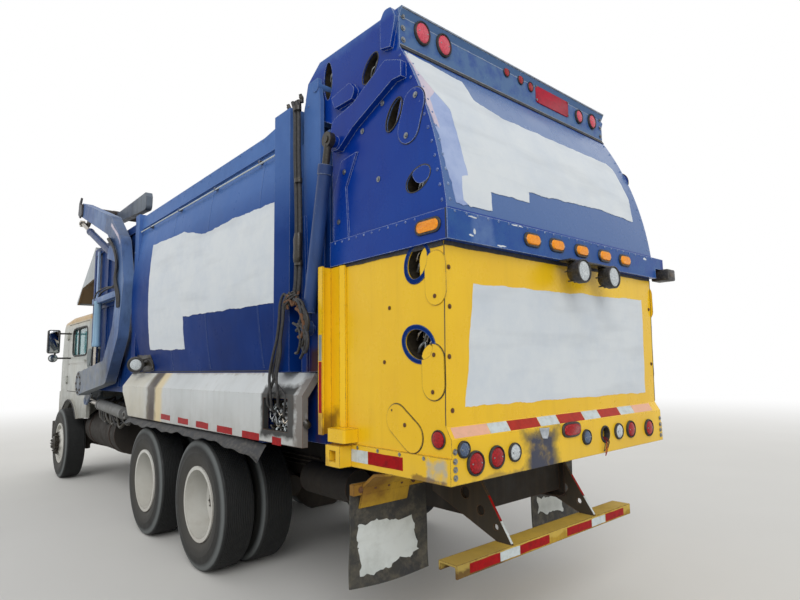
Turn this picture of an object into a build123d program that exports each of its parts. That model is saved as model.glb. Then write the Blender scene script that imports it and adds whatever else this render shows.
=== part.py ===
from build123d import *
import os
from math import atan2, cos, sin

os.makedirs("parts", exist_ok=True)

# Front of the truck is -Y, its left side is +X, the ground is Z = 0; millimetres throughout

# Wheels: tyre and rim, wheel disc, hub, brake drum
TYRE_R, TYRE_W, RIM_R = 522, 280, 286
RIM_W, LIP_H = 256, 14
DISC_T, DISC_OFFSET = 14, 150
BOLT_FACE_R, HUB_R, DRUM_R = 165, 105, 205
AXLE_Z = TYRE_R
FRONT_Y, REAR_Y, TANDEM = -3756, 1710, 1370
FRONT_X, DUAL_X, DUAL_PITCH = 1065, 1055, 340
KINGPIN_X, KINGPIN_H = 800, 120
SPINDLE_R, RUN_GAP = 45, 0.3
PIN_R = 22

# Chassis rails and the sills that carry the body
RAIL_X, RAIL_Z, FLANGE, WEB = 430, (710, 980), 85, 12
RAIL_Y = (FRONT_Y - 724, 4130)
CROSS_MEMBERS = (FRONT_Y - 644, FRONT_Y + 1256, -1100, -300, 1025, 2400, 3400, 4050)
SILL_W, SILL_Y = 75, (-2000, 3400)
AXLE_TUBE_R, BOWL_R = 75, 215
BEAM_W, BEAM_H = 110, 120
CHAMBER_X, CHAMBER_R = 480, 78
SHAFT_R = 45

# Cab
CAB_X, CAB_Y, CAB_SKIN = 1070, (FRONT_Y - 834, FRONT_Y + 1136), 45
CAB_LOW, SILL_Z, BELT_Z, BROW_Z, ROOF_Z = 830, 1285, 1730, 2350, 2480
RAKE, CORNER_R = 105, 90
ARCH_R = 640
# The door hinges stand behind the path of the tilt cylinders when the arms are down
DOOR_Y, DOOR_Z, DOOR_GAP = (FRONT_Y - 294, FRONT_Y + 1056), (1300, 2360), 8
WINDOW_Y, WINDOW_Z, WINDOW_R = (FRONT_Y + 16, FRONT_Y + 956), (1850, 2280), 70
SCREEN_X, SCREEN_Z = 960, (1780, 2310)
PANE_T = 6
HINGE_PIN, HINGE_R = 7, 14
HINGE_X, HINGES_Z = CAB_X + HINGE_R + 2, (1480, 2180)
MIRROR_X, MIRROR_Y, MIRROR_Z = (1230, 1400), (FRONT_Y - 169, FRONT_Y - 99), (1900, 2270)
SEAT_X, SEAT_W, SEAT_Z = 615, 470, 1700
BUMPER_X, BUMPER_Y, BUMPER_Z = 1150, (CAB_Y[0] - 80, CAB_Y[0] + 90), (520, 800)
ENGINE_Y, ENGINE_Z = (CAB_Y[0] + 260, FRONT_Y + 746), (640, 1130)
STEER_X, STEER_Z, STEER_R = 560, 1840, 215
INTAKE_R, INTAKE_YZ = 140, (-2462, 1790)
TANK_R, TANK_YX, TANK_Z = 270, (-3020, -1500, 730), 800
BATTERY_X, BATTERY_Y, BATTERY_Z = 1010, (-2700, -1800), (640, 960)

# Packer body and hopper
BODY_Y, BODY_X, BULGE_X = (-370, 3170), 1090, 1165
WALL = 40
FLOOR_Z, KNEE_Z, EAVES_Z, TOP_Z = (1150, 1230), 1600, 3215, 3400
POST_A_Y, POST_B_Y = (2960, 3170), (3290, 3460)
POST_TOP = 3385
SKIRT_X, SKIRT_Y, SKIRT_Z = 1205, (-440, 3370), (1130, 1445, 1585)
SKIRT_HOLE_Y, SKIRT_HOLE_Z = (2865, 3190), (1210, 1420)
HOPPER_X, HOPPER_Y, HOPPER_Z = 1080, (-2430, -370), (1360, 3330)
STEP_Y, STEP_Z = -2010, 1960
SHIELD_TIP, SHIELD_TOP = (-3560, 2650), 3400
PANEL_X, PANEL_Y, PANEL_Z = 1030, (-1940, -1500), (1406, 2300)
SHOE_GAP = 0.3

# Tailgate: hinge, upper shell, lamp band, lower shell
HINGE_Y, HINGE_Z, HINGE_PIN_R = 3430, 3440, 31
GATE_X, GATE_Y, GATE_TOP = 1096, 3545, 3620
BAND_Y, BAND_Z, BAND_T = 4550, (2231, 2385), 20
HEADER_Y, HEADER_Z = 4202, (3391, 3618)
# Middle of the bulged back, between the header and the band
BACK_MID = (HEADER_Y + 229, 2880)
FACE_Y, CREASE_Z, LIP_Z = 4520, 1265, 1054
COVER_T = 6
# Openings in the gate's sides: y, z, long radius, short radius, tilt
SIDE_HOLES = (
    (3498, 3470, 128, 48, 90), (HEADER_Y - 262, 3368, 96, 52, 48), (HEADER_Y - 52, 3005, 96, 48, 55),
    (HEADER_Y + 128, 2590, 95, 58, 20), (4312, 2150, 92, 72, 60), (4310, 1725, 105, 74, -20))
# Swinging covers: y, z, half length, half width, tilt
SIDE_COVERS = ((HEADER_Y + 86, 2950, 150, 84, 70), (4443, 2052, 138, 74, 90), (4411, 1586, 138, 78, 90),
               (4188, 1300, 150, 80, -35))

# Underride guard, steps and flaps
HANGER_X, HANGER_T, STEP_X, STEP_BAR_Y, STEP_BAR_Z = 430, 18, 900, (4215, 4345), (545, 612)
HANGER_HOLES = ((4000, 850, 36), (4120, 765, 29), (4230, 690, 18))
FLAP_X, FLAP_Y, FLAP_Z, FLAP_T = (530, 1130), 3740, (385, 960), 12

# Rear lamps: x, z, radius on the lower face, then on the header
FACE_LAMPS = ((936, 1142, 52), (775, 1152, 50), (80, 1231, 45), (-631, 1170, 48), (-891, 1158, 50))
WHITE_LAMPS = ((627, 1160, 42), (-469, 1171, 44), (1018, 1216, 34), (-79, 1170, 38))
HEADER_LAMPS = ((922, 3528, 52), (744, 3522, 52), (139, 3568, 24), (-15, 3565, 24), (-129, 3549, 24),
                (-745, 3508, 40), (-938, 3522, 45))
AMBER_X, AMBER_Z, LENS_T = (426, 182, -89, -370, -640), 2315, 12
SIDE_AMBER_Y = (BAND_Y - 225, BAND_Y - 45)
EMPTY_HOLE = (-303, 1167, 44)
RED_PLATE_X, RED_PLATE_Z = (-601, -191), (3458, 3592)
# Work lamps under the band: x, z
WORK_LAMPS, WORK_R = ((80, 2155), (-270, 2150)), 72

# Lift arms, forks and the three pairs of cylinders
ARM_X, ARM_PIVOT, ARM_HUB_R, TORQUE_R = (1130, 1250), (-2400, 1450), 165, 95
BEARING_X, BEARING_R = (390, 460), 150
FORK_PIVOT, FORK_SHAFT_R, BLADE_X = (-2640, 3950), 60, (740, 820)
LIFT_BASE, LIFT_CRANK, LIFT_X = (-790, 1100), (-2600, 1205), 1050
TILT_BASE, TILT_CRANK, TILT_X = (-1110, 3050), (-2906, 3811), 1190
GATE_BASE, GATE_EYE, GATE_CYL_X = (3400, 1860), (3640, 3000), 1190
# Arm centre line from pivot to fork shaft: y, z, width
ARM_LINE = ((*ARM_PIVOT, 300), (-1090, 1600, 290), (-690, 2060, 270), (-545, 2620, 260), (-700, 3080, 250),
            (-1130, 3420, 240), (*FORK_PIVOT, 200))
# Cylinders: label, base, tip, x, barrel radius, barrel length, rod radius, eye width, retraction,
# and the pin's ends from the middle of the rod's eye
CYLINDERS = (
    ("lift", LIFT_BASE, LIFT_CRANK, LIFT_X, 70, 1190, 35, 70, 470, (-40, 40)),
    ("tilt", TILT_BASE, TILT_CRANK, TILT_X, 46, 1380, 26, 60, 455, (-60, 42)),
    ("gate", GATE_BASE, GATE_EYE, GATE_CYL_X, 42, 1010, 24, 38, 0, (-23, 25)))


def box(x, y, z):
    middle = [(low + high) / 2 for low, high in (x, y, z)]
    return Pos(*middle) * Box(x[1] - x[0], y[1] - y[0], z[1] - z[0])


def profile(points, rounds=()):
    face = make_face(Polyline(*points, close=True))
    for index, radius in rounds:
        corner = face.vertices().sort_by_distance(points[index])[0]
        face = fillet(corner, radius)
    return face


def plate(points, x, rounds=()):
    return extrude(Plane.YZ.offset(x[0]) * profile(points, rounds), x[1] - x[0])


def cross(points, y, rounds=()):
    return extrude(Plane.XZ.offset(-y[1]) * profile(points, rounds), y[1] - y[0])


def plan(points, z, rounds=()):
    return extrude(Plane.XY.offset(z[0]) * profile(points, rounds), z[1] - z[0])


def drum(yz, radius, x):
    return Pos((x[0] + x[1]) / 2, *yz) * Rot(0, 90, 0) * Cylinder(radius, x[1] - x[0])


def rod(start, end, radius):
    run = Vector(*end) - Vector(*start)
    place = Plane(origin=start, z_dir=run)
    return place * Cylinder(radius, run.length, align=(Align.CENTER, Align.CENTER, Align.MIN))


def oval(y, z, long_r, short_r, tilt, x, stadium=False):
    sketch = SlotOverall(2 * long_r, 2 * short_r) if stadium else Ellipse(long_r, short_r)
    return extrude(Plane.YZ.offset(x[0]) * Pos(y, z) * Rot(0, 0, tilt) * sketch, x[1] - x[0])


def turned(outline):
    return revolve(Plane.XY * make_face(Polyline(*outline, close=True)), Axis.X)


def both(shape):
    return shape + mirror(shape, about=Plane.YZ)


def side(shape, name):
    return shape if name == "left" else mirror(shape, about=Plane.YZ)


nodes = {}
SIDES = ("left", "right")


# Tyres and rims are turned about the axle, the wheel disc dished to its bolt face
def tyre(x):
    w, t = TYRE_W / 2, TYRE_R
    seat = RIM_W / 2 - LIP_H + 2
    outline = [(-seat, RIM_R), (-seat, RIM_R + LIP_H), (-w + 6, RIM_R + 60), (-w, RIM_R + 120),
               (-w + 14, t - 22), (-w + 40, t),
               (w - 40, t), (w - 14, t - 22), (w, RIM_R + 120), (w - 6, RIM_R + 60), (seat, RIM_R + LIP_H),
               (seat, RIM_R)]
    return Pos(x, 0, 0) * turned(outline)


def rim(x, disc):
    w, r, h, f = RIM_W / 2, RIM_R, DISC_T / 2, BOLT_FACE_R
    barrel = r - 30
    lip = LIP_H - 2
    bore = SPINDLE_R + 10
    outline = [(disc + h, bore), (disc + h, f), (disc * 0.4 + h + 4, barrel), (w, r - 16), (w, r + LIP_H),
               (w - lip, r + LIP_H),
               (w - lip, r), (lip - w, r), (lip - w, r + LIP_H), (-w, r + LIP_H), (-w, r - 16),
               (disc * 0.4 - h - 4, barrel),
               (disc - h, f - 4), (disc - h, bore)]
    return Pos(x, 0, 0) * turned(outline)


def hub(drum_x, disc_x, cap_x):
    bore = SPINDLE_R + RUN_GAP
    drum_end = disc_x - 60
    outline = [(drum_x, bore), (drum_x, DRUM_R), (drum_end, DRUM_R), (drum_end, HUB_R + 25),
               (disc_x + 30, HUB_R + 25), (disc_x + 30, HUB_R),
               (cap_x - 18, HUB_R - 12), (cap_x, HUB_R - 34), (cap_x, 0), (cap_x - 20, 0), (cap_x - 20, bore)]
    return turned(outline)


DUAL_DISC = DUAL_X - DUAL_PITCH / 2
FRONT_CAP, DUAL_CAP = FRONT_X + DISC_OFFSET + 70, DUAL_DISC + 160
for name in SIDES:
    place = Pos(0, FRONT_Y, AXLE_Z)
    nodes[f"front_tyre_{name}"] = side(place * tyre(FRONT_X), name)
    wheel = rim(FRONT_X, DISC_OFFSET) + hub(FRONT_X - 165, FRONT_X + DISC_OFFSET, FRONT_CAP)
    nodes[f"front_rim_{name}"] = side(place * wheel, name)
    for axle, y in (("forward", REAR_Y - TANDEM), ("rear", REAR_Y)):
        place = Pos(0, y, AXLE_Z)
        pair = tyre(DUAL_X) + tyre(DUAL_X - DUAL_PITCH)
        nodes[f"{axle}_tyres_{name}"] = side(place * pair, name)
        offset_x = (DUAL_PITCH - DISC_T) / 2
        wheel = rim(DUAL_X, -offset_x) + rim(DUAL_X - DUAL_PITCH, offset_x)
        wheel += hub(DUAL_DISC - 195, DUAL_DISC, DUAL_CAP)
        nodes[f"{axle}_rims_{name}"] = side(place * wheel, name)
    top, low = AXLE_Z + KINGPIN_H, AXLE_Z - KINGPIN_H
    inner = KINGPIN_H / 2 + RUN_GAP
    knuckle = rod((KINGPIN_X, FRONT_Y, low), (KINGPIN_X, FRONT_Y, top), SPINDLE_R - 3)
    knuckle += box((KINGPIN_X + 20, KINGPIN_X + 80), (FRONT_Y - 42, FRONT_Y + 42), (low, top))
    knuckle -= box((KINGPIN_X - 60, KINGPIN_X + 50), (FRONT_Y - 60, FRONT_Y + 60),
                   (AXLE_Z - inner, AXLE_Z + inner))
    knuckle += box((KINGPIN_X + 50, KINGPIN_X + 80), (FRONT_Y - 60, FRONT_Y + 60), (low, top))
    knuckle -= rod((KINGPIN_X, FRONT_Y, low - 1), (KINGPIN_X, FRONT_Y, top + 1), PIN_R + RUN_GAP)
    knuckle += drum((FRONT_Y, AXLE_Z), SPINDLE_R, (KINGPIN_X + 70, FRONT_CAP - 25))
    nodes[f"steering_knuckle_{name}"] = side(knuckle, name)

# Chassis: two channel rails tied by cross members, sills under the body
channel = box((RAIL_X - WEB, RAIL_X), RAIL_Y, RAIL_Z)
channel += box((RAIL_X - FLANGE, RAIL_X), RAIL_Y, (RAIL_Z[0], RAIL_Z[0] + WEB))
channel += box((RAIL_X - FLANGE, RAIL_X), RAIL_Y, (RAIL_Z[1] - WEB, RAIL_Z[1]))
frame = both(channel)
for y in CROSS_MEMBERS:
    frame += box((WEB - RAIL_X, RAIL_X - WEB), (y - 40, y + 40), (RAIL_Z[0] + 40, RAIL_Z[1] - 40))
# The drive shaft runs through the cross members in a clear tunnel
SHAFT_LINE = ((0, -3004, 820), (0, REAR_Y - TANDEM, AXLE_Z + 30))
frame -= rod(*SHAFT_LINE, SHAFT_R + 25)
frame += both(box((RAIL_X - SILL_W, RAIL_X), SILL_Y, (RAIL_Z[1], FLOOR_Z[0])))
# Base brackets of the lift cylinders reach out from the rails
reach = LIFT_X - 42
bracket = plate([(LIFT_BASE[0] - 90, RAIL_Z[0] + 60), (LIFT_BASE[0] + 90, RAIL_Z[0] + 60),
                 (LIFT_BASE[0] + 60, LIFT_BASE[1] + 50),
                 (LIFT_BASE[0] - 60, LIFT_BASE[1] + 50)], (RAIL_X, RAIL_X + 30))
bracket += box((RAIL_X, reach), (LIFT_BASE[0] - 55, LIFT_BASE[0] + 55),
               (LIFT_BASE[1] - 60, LIFT_BASE[1] + 40))
bracket += drum(LIFT_BASE, PIN_R, (reach, LIFT_X + 42))
frame += both(bracket)
# Pedestal bearings carry the torque tube of the lift arms
ay, az = ARM_PIVOT
pedestal = plate([(ay - BEARING_R - 60, RAIL_Z[1]), (ay + BEARING_R + 60, RAIL_Z[1]), (ay + BEARING_R, az),
                  (ay - BEARING_R, az)], BEARING_X)
pedestal += drum(ARM_PIVOT, BEARING_R, BEARING_X)
frame += both(pedestal - drum(ARM_PIVOT, TORQUE_R + RUN_GAP, (BEARING_X[0] - 10, BEARING_X[1] + 10)))
# Air tanks are strapped under the floor behind the rear axle
tank = rod((560, 2480, 760), (560, 3080, 760), 120)
frame += both(tank + box((RAIL_X, 560), (2600, 2640), (740, 780)) + box((RAIL_X, 560), (2920, 2960),
                                                            (740, 780)))
nodes["chassis_frame"] = frame

nodes["engine_block"] = box((FLANGE - RAIL_X, RAIL_X - FLANGE), ENGINE_Y, ENGINE_Z)

# Front axle: drop beam, kingpins, leaf springs with shackle ends
beam = cross([(60 - KINGPIN_X, AXLE_Z - 50), (300 - KINGPIN_X, AXLE_Z - 130), (KINGPIN_X - 300, AXLE_Z - 130),
              (KINGPIN_X - 60, AXLE_Z - 50),
              (KINGPIN_X - 60, AXLE_Z + 40), (KINGPIN_X - 300, AXLE_Z - 30), (300 - KINGPIN_X, AXLE_Z - 30),
              (60 - KINGPIN_X, AXLE_Z + 40)],
             (FRONT_Y - 45, FRONT_Y + 45))
eye = rod((KINGPIN_X, FRONT_Y, AXLE_Z - KINGPIN_H / 2), (KINGPIN_X, FRONT_Y, AXLE_Z + KINGPIN_H / 2), 48)
eye += box((KINGPIN_X - 70, KINGPIN_X), (FRONT_Y - 40, FRONT_Y + 40), (AXLE_Z - 50, AXLE_Z + 40))
eye += rod((KINGPIN_X, FRONT_Y, AXLE_Z - KINGPIN_H - 6), (KINGPIN_X, FRONT_Y, AXLE_Z + KINGPIN_H + 6), PIN_R)
# Leaf pack: y from the axle, low z, high z
LEAF = ((-650, 680, 710), (-300, 560, 600), (0, 490, 565), (300, 560, 600), (650, 680, 710))
leaf = plate([(FRONT_Y + y, z) for y, z, _ in LEAF] + [(FRONT_Y + y, z) for y, _, z in LEAF[::-1]],
             (RAIL_X - 80, RAIL_X))
nodes["front_axle"] = beam + both(eye) + both(leaf)

# Tandem axles: turned housings with their bowls, walking beams, brake chambers
end = DUAL_CAP - 25
HOUSING = [(-end, 0), (-end, SPINDLE_R), (-620, SPINDLE_R), (-620, AXLE_TUBE_R), (-260, AXLE_TUBE_R + 5),
           (-190, 160), (-110, BOWL_R),
           (110, BOWL_R), (190, 160), (260, AXLE_TUBE_R + 5), (620, AXLE_TUBE_R), (620, SPINDLE_R),
           (end, SPINDLE_R), (end, 0)]
rear = []
for y in (REAR_Y - TANDEM, REAR_Y):
    rear.append(Pos(0, y, AXLE_Z) * turned(HOUSING))
    rear.append(both(rod((CHAMBER_X, y + 40, AXLE_Z + 50), (CHAMBER_X, y + 240, AXLE_Z + 80),
                         CHAMBER_R - 22)))
    rear.append(both(rod((CHAMBER_X, y + 225, AXLE_Z + 78), (CHAMBER_X, y + 340, AXLE_Z + 95), CHAMBER_R)))
middle = REAR_Y - TANDEM / 2
walk = plate([(middle - TANDEM / 2 - 80, AXLE_Z - 50), (middle - 250, AXLE_Z - BEAM_H / 2),
              (middle, AXLE_Z - BEAM_H), (middle + 250, AXLE_Z - BEAM_H / 2),
              (middle + TANDEM / 2 + 80, AXLE_Z - 50), (middle + TANDEM / 2 + 80, AXLE_Z + 50),
              (middle - TANDEM / 2 - 80, AXLE_Z + 50)],
             (RAIL_X - BEAM_W + 15, RAIL_X + 15))
hanger = plate([(middle - 90, AXLE_Z), (middle + 90, AXLE_Z), (middle + 230, RAIL_Z[0]),
                (middle - 230, RAIL_Z[0])],
               (RAIL_X - BEAM_W + 15, RAIL_X + 15))
nodes["rear_axles"] = rear[0] + rear[1:] + both(walk) + both(hanger)
# Drive shafts: engine to forward axle, forward axle to rear axle
shafts = rod(*SHAFT_LINE, SHAFT_R) + rod((0, REAR_Y - TANDEM, SHAFT_LINE[1][2]),
                                         (0, REAR_Y, SHAFT_LINE[1][2]), SHAFT_R)
for y in (REAR_Y - TANDEM, REAR_Y):
    shafts -= drum((y, AXLE_Z), BOWL_R, (-BOWL_R, BOWL_R))
nodes["drive_shafts"] = shafts

# Front bumper with wrapped ends and brackets to the rails
b0, b1 = BUMPER_Y
bumper = plan([(-BUMPER_X, b1 + 60), (-BUMPER_X, b0 + 70), (-BUMPER_X + 90, b0), (BUMPER_X - 90, b0),
               (BUMPER_X, b0 + 70), (BUMPER_X, b1 + 60),
               (BUMPER_X - 60, b1 + 60), (BUMPER_X - 60, b0 + 90), (BUMPER_X - 110, b0 + 60),
               (110 - BUMPER_X, b0 + 60), (60 - BUMPER_X, b0 + 90),
               (60 - BUMPER_X, b1 + 60)], BUMPER_Z)
bumper += both(box((RAIL_X - 60, RAIL_X), (b0 + 50, RAIL_Y[0]), (RAIL_Z[0] + 20, BUMPER_Z[1])))
nodes["front_bumper"] = bumper

# Cab shell: one rounded outline pushed through, hollowed, its openings cut
def cab_block(skin):
    low = SILL_Z + skin
    y0, y1 = CAB_Y[0] + skin, CAB_Y[1] - skin
    points = [(y0, low), (y0, BELT_Z), (y0 + RAKE, BROW_Z - skin / 3), (y0 + 2 * RAKE, ROOF_Z - 40 - skin),
              (y0 + 700, ROOF_Z - skin),
              (y1, ROOF_Z - 10 - skin), (y1, low)]
    rounds = ((1, 300), (2, 60), (3, 60), (5, CORNER_R - skin))
    block = plate(points, (skin - CAB_X, CAB_X - skin), rounds)
    outer = [e for e in block.edges() if abs(abs(e.center().X) - CAB_X + skin) < 1]
    long_edges = [e for e in outer if e.center().Z > low + 60]
    front = [e for e in long_edges if e.center().Y < CAB_Y[0] + 900 or e.center().Z > BROW_Z - 50]
    return fillet(front, CORNER_R - skin)


shell = cab_block(0) - cab_block(CAB_SKIN)
# Front panel and the side panels with their wheel arches, below the floor
lower = box((-CAB_X + 60, CAB_X - 60), (CAB_Y[0], CAB_Y[0] + CAB_SKIN), (CAB_LOW, SILL_Z + 10))
cheek = plate([(CAB_Y[0], CAB_LOW), (DOOR_Y[1], CAB_LOW + 120), (DOOR_Y[1], SILL_Z + 5),
               (CAB_Y[0], SILL_Z + 5)], (CAB_X - CAB_SKIN, CAB_X))
cheek -= drum((FRONT_Y, AXLE_Z), ARCH_R, (CAB_X - 100, CAB_X + 50))
# Rubber-like lip follows the arch
lip = drum((FRONT_Y, AXLE_Z), ARCH_R + 22, (CAB_X - CAB_SKIN, CAB_X + 22)) - drum((FRONT_Y, AXLE_Z), ARCH_R,
                                                            (CAB_X - 100, CAB_X + 50))
lip &= box((CAB_X - 60, CAB_X + 40), (CAB_Y[0] + 5, DOOR_Y[1]), (CAB_LOW + 80, SILL_Z - 5))
shell += lower + both(cheek) + both(lip)
shell -= both(box((CAB_X - 100, CAB_X + 10), DOOR_Y, DOOR_Z))
screen = fillet(box((-SCREEN_X, SCREEN_X), (CAB_Y[0] - 20, CAB_Y[0] + 180),
                    SCREEN_Z).edges().filter_by(Axis.Y), WINDOW_R)
shell -= screen
rear_x, rear_z = 700, WINDOW_Z
shell -= box((-rear_x, rear_x), (CAB_Y[1] - 100, CAB_Y[1] + 20), rear_z)
mount_x = RAIL_X - 40
for y in (DOOR_Y[1] - 220, CAB_Y[0] + 180):
    shell += both(box((mount_x - 40, mount_x + 40), (y - 40, y + 40), (RAIL_Z[1], SILL_Z + 10)))
for z in HINGES_Z:
    shell += both(rod((HINGE_X, DOOR_Y[0], z - 65), (HINGE_X, DOOR_Y[0], z + 65), HINGE_PIN))
    for low in (z - 65, z + 41):
        shell += both(rod((HINGE_X, DOOR_Y[0], low), (HINGE_X, DOOR_Y[0], low + 24), HINGE_R))
        shell += both(box((CAB_X - 10, HINGE_X), (DOOR_Y[0] - 40, DOOR_Y[0]), (low, low + 24)))
# Grille slats in a frame below the windscreen
GRILLE_X, GRILLE_Z, SLAT_PITCH = 590, (900, 1430), 66
grille = box((-GRILLE_X, GRILLE_X), (CAB_Y[0] - 16, CAB_Y[0]), GRILLE_Z)
grille -= box((30 - GRILLE_X, GRILLE_X - 30), (CAB_Y[0] - 20, CAB_Y[0]), (GRILLE_Z[0] + 30, GRILLE_Z[1] - 30))
for i in range(7):
    z = GRILLE_Z[0] + 45 + SLAT_PITCH * i
    grille += box((20 - GRILLE_X, GRILLE_X - 20), (CAB_Y[0] - 12, CAB_Y[0]), (z, z + 30))
shell += grille
nodes["cab_shell"] = shell


# Windscreen and rear window panes lie in their openings
def front_pane(x, inset):
    slope = RAKE / (BROW_Z - BELT_Z)
    y0 = CAB_Y[0] + inset + (SCREEN_Z[0] - BELT_Z) * slope
    y1 = CAB_Y[0] + inset + (SCREEN_Z[1] - BELT_Z) * slope
    return plate([(y0, SCREEN_Z[0]), (y1, SCREEN_Z[1]), (y1 + PANE_T, SCREEN_Z[1]),
                  (y0 + PANE_T, SCREEN_Z[0])], x)


glass = front_pane((-SCREEN_X, -PANE_T), 22) + front_pane((PANE_T, SCREEN_X), 22)
glass &= screen
glass += box((-rear_x, rear_x), (CAB_Y[1] - 28, CAB_Y[1] - 28 + PANE_T), rear_z)
nodes["cab_glass"] = glass

# Doors with their mirrors
for name in SIDES:
    g = DOOR_GAP
    leaf = box((CAB_X - CAB_SKIN, CAB_X), (DOOR_Y[0] + g, DOOR_Y[1] - g), (DOOR_Z[0] + g, DOOR_Z[1] - g))
    hole = fillet(box((CAB_X - 100, CAB_X + 10), WINDOW_Y, WINDOW_Z).edges().filter_by(Axis.X), WINDOW_R)
    leaf -= hole
    # Pressed line under the window and the grab handle behind it
    leaf -= box((CAB_X - 6, CAB_X + 1), (DOOR_Y[0] + 60, DOOR_Y[1] - 60),
                (WINDOW_Z[0] - 130, WINDOW_Z[0] - 110))
    leaf += box((CAB_X, CAB_X + 28), (WINDOW_Y[1] - 110, WINDOW_Y[1] - 20),
                (WINDOW_Z[0] - 90, WINDOW_Z[0] - 66))
    for z in HINGES_Z:
        leaf += rod((HINGE_X, DOOR_Y[0], z - 40), (HINGE_X, DOOR_Y[0], z + 40), HINGE_R)
        leaf += box((CAB_X - 10, HINGE_X), (DOOR_Y[0], DOOR_Y[0] + 40), (z - 40, z + 40))
        leaf -= rod((HINGE_X, DOOR_Y[0], z - 41), (HINGE_X, DOOR_Y[0], z + 41), HINGE_PIN + RUN_GAP)
    nodes[f"cab_door_{name}"] = side(leaf, name)
    pane = hole & box((CAB_X - 26, CAB_X - 26 + PANE_T), WINDOW_Y, WINDOW_Z)
    nodes[f"door_glass_{name}"] = side(pane, name)
    head = fillet(box(MIRROR_X, MIRROR_Y, MIRROR_Z).edges().filter_by(Axis.Y), 30)
    spot = rod((sum(MIRROR_X) / 2, MIRROR_Y[0] + 10, MIRROR_Z[0] - 75),
               (sum(MIRROR_X) / 2, MIRROR_Y[1] - 10, MIRROR_Z[0] - 75), 62)
    y = sum(MIRROR_Y) / 2
    for z in (MIRROR_Z[0] - 75, MIRROR_Z[1] - 55):
        head += rod((CAB_X, y, z), (MIRROR_X[0] + 60, y, z), 13)
    head += rod((MIRROR_X[0] + 60, y, MIRROR_Z[0] - 75), (MIRROR_X[0] + 60, y, MIRROR_Z[0] + 20), 13) + spot
    nodes[f"mirror_{name}"] = side(head, name)

# Cab interior: two seats, dashboard, steering column and wheel
base_z = SILL_Z + CAB_SKIN
seat_x = (SEAT_X - SEAT_W / 2, SEAT_X + SEAT_W / 2)
SEAT_Y, BACK_TOP = (FRONT_Y + 56, FRONT_Y + 576), 2270
back_y = SEAT_Y[1]
BACKREST = [(back_y - 50, SEAT_Z - 60), (back_y + 90, SEAT_Z - 60), (back_y + 220, BACK_TOP - 20),
            (back_y + 100, BACK_TOP)]
seat = box(seat_x, SEAT_Y, (base_z, SEAT_Z)) + plate(BACKREST, seat_x)
dash_y = CAB_Y[0] + CAB_SKIN
DASH_D, DASH_Z = 365, (1480, 1720)
d0, d1 = DASH_Z
dash = plate([(dash_y, d0), (dash_y + DASH_D - 60, d0 + 20), (dash_y + DASH_D, d0 + 120),
              (dash_y + DASH_D - 80, d1), (dash_y, d1 - 40)],
             (CAB_SKIN + 50 - CAB_X, CAB_X - CAB_SKIN - 50))
wheel_y = dash_y + DASH_D + 170
column = rod((STEER_X, wheel_y - 220, STEER_Z - 200), (STEER_X, wheel_y - 10, STEER_Z - 10), 25)
wheel = Plane(origin=(STEER_X, wheel_y, STEER_Z), z_dir=(0, 1, 1)) * (Torus(STEER_R, 16) + Box(2 * STEER_R,
                                                            30, 16) + Cylinder(50, 30))
nodes["cab_interior"] = both(seat) + dash + column + wheel

# Head lamps on the cab's lower corners, direction lamps beside them
lamp = box((760, 930), (CAB_Y[0] - 16, CAB_Y[0]), (960, 1110)) + box((945, 1000), (CAB_Y[0] - 14, CAB_Y[0]),
                                                            (970, 1100))
nodes["head_lamps"] = both(lamp)

# Air intake drum at the left rear corner of the cab, its duct down to the frame
intake = drum(INTAKE_YZ, INTAKE_R, (900, 1115)) + drum(INTAKE_YZ, INTAKE_R - 40, (1115, 1122))
duct_y = (ay - TORQUE_R - 90, ay - TORQUE_R - 20)
intake += box((900, 960), duct_y, (1240, INTAKE_YZ[1] - 60)) + box((BEARING_X[1], 960), duct_y, (1200, 1250))
nodes["air_intake"] = intake

# Fuel tank on the left, battery box on the right
t0, t1, tx = TANK_YX
tank = rod((tx, t0, TANK_Z), (tx, t1, TANK_Z), TANK_R)
for y in (t0 + 250, t1 - 250):
    tank += rod((tx, y - 30, TANK_Z), (tx, y + 30, TANK_Z), TANK_R + 8)
    tank += box((RAIL_X, tx), (y - 30, y + 30), (TANK_Z - 40, TANK_Z + 40))
battery = box((-BATTERY_X, -RAIL_X), BATTERY_Y, BATTERY_Z)
battery += box((-BATTERY_X - 12, -BATTERY_X), (BATTERY_Y[0] + 40, BATTERY_Y[1] - 40),
               (BATTERY_Z[0] + 30, BATTERY_Z[1] - 30))
nodes["tank_and_battery_box"] = tank + battery


# Packer body: bulged walls between knee and eaves, roof, floor, posts
def body_section(inset):
    x, bulge, roof = BODY_X - inset, BULGE_X - inset, TOP_Z - inset
    bottom = FLOOR_Z[1] if inset else FLOOR_Z[0]
    top = EAVES_Z - inset / 4
    wall = Polyline((0, bottom), (x, bottom), (x, KNEE_Z))
    arc = ThreePointArc((x, KNEE_Z), (bulge, (KNEE_Z + top) / 2), (x, top))
    lid = Polyline((x, top), (x - 60, roof - 40), (0, roof), (0, bottom))
    half = make_face(wall + arc + lid)
    return Plane.XZ * (half + mirror(half, about=Plane.YZ))


def along(face, y):
    return Pos(0, y[1], 0) * extrude(face, y[1] - y[0])


body = along(body_section(0), BODY_Y) - along(body_section(WALL), (BODY_Y[0] - 1, BODY_Y[1] + 1))
# Behind the rear posts the walls run straight to the tailgate
straight = (FLOOR_Z[0], EAVES_Z - 75)
body += box((-BODY_X, BODY_X), (BODY_Y[1] - 10, GATE_Y - 35), straight)
body -= box((WALL - BODY_X, BODY_X - WALL), (BODY_Y[1] - 20, GATE_Y), (FLOOR_Z[1], HINGE_Z - 140))
body -= drum((HINGE_Y, HINGE_Z), 270, (-BODY_X - 22, BODY_X + 22))
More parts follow.
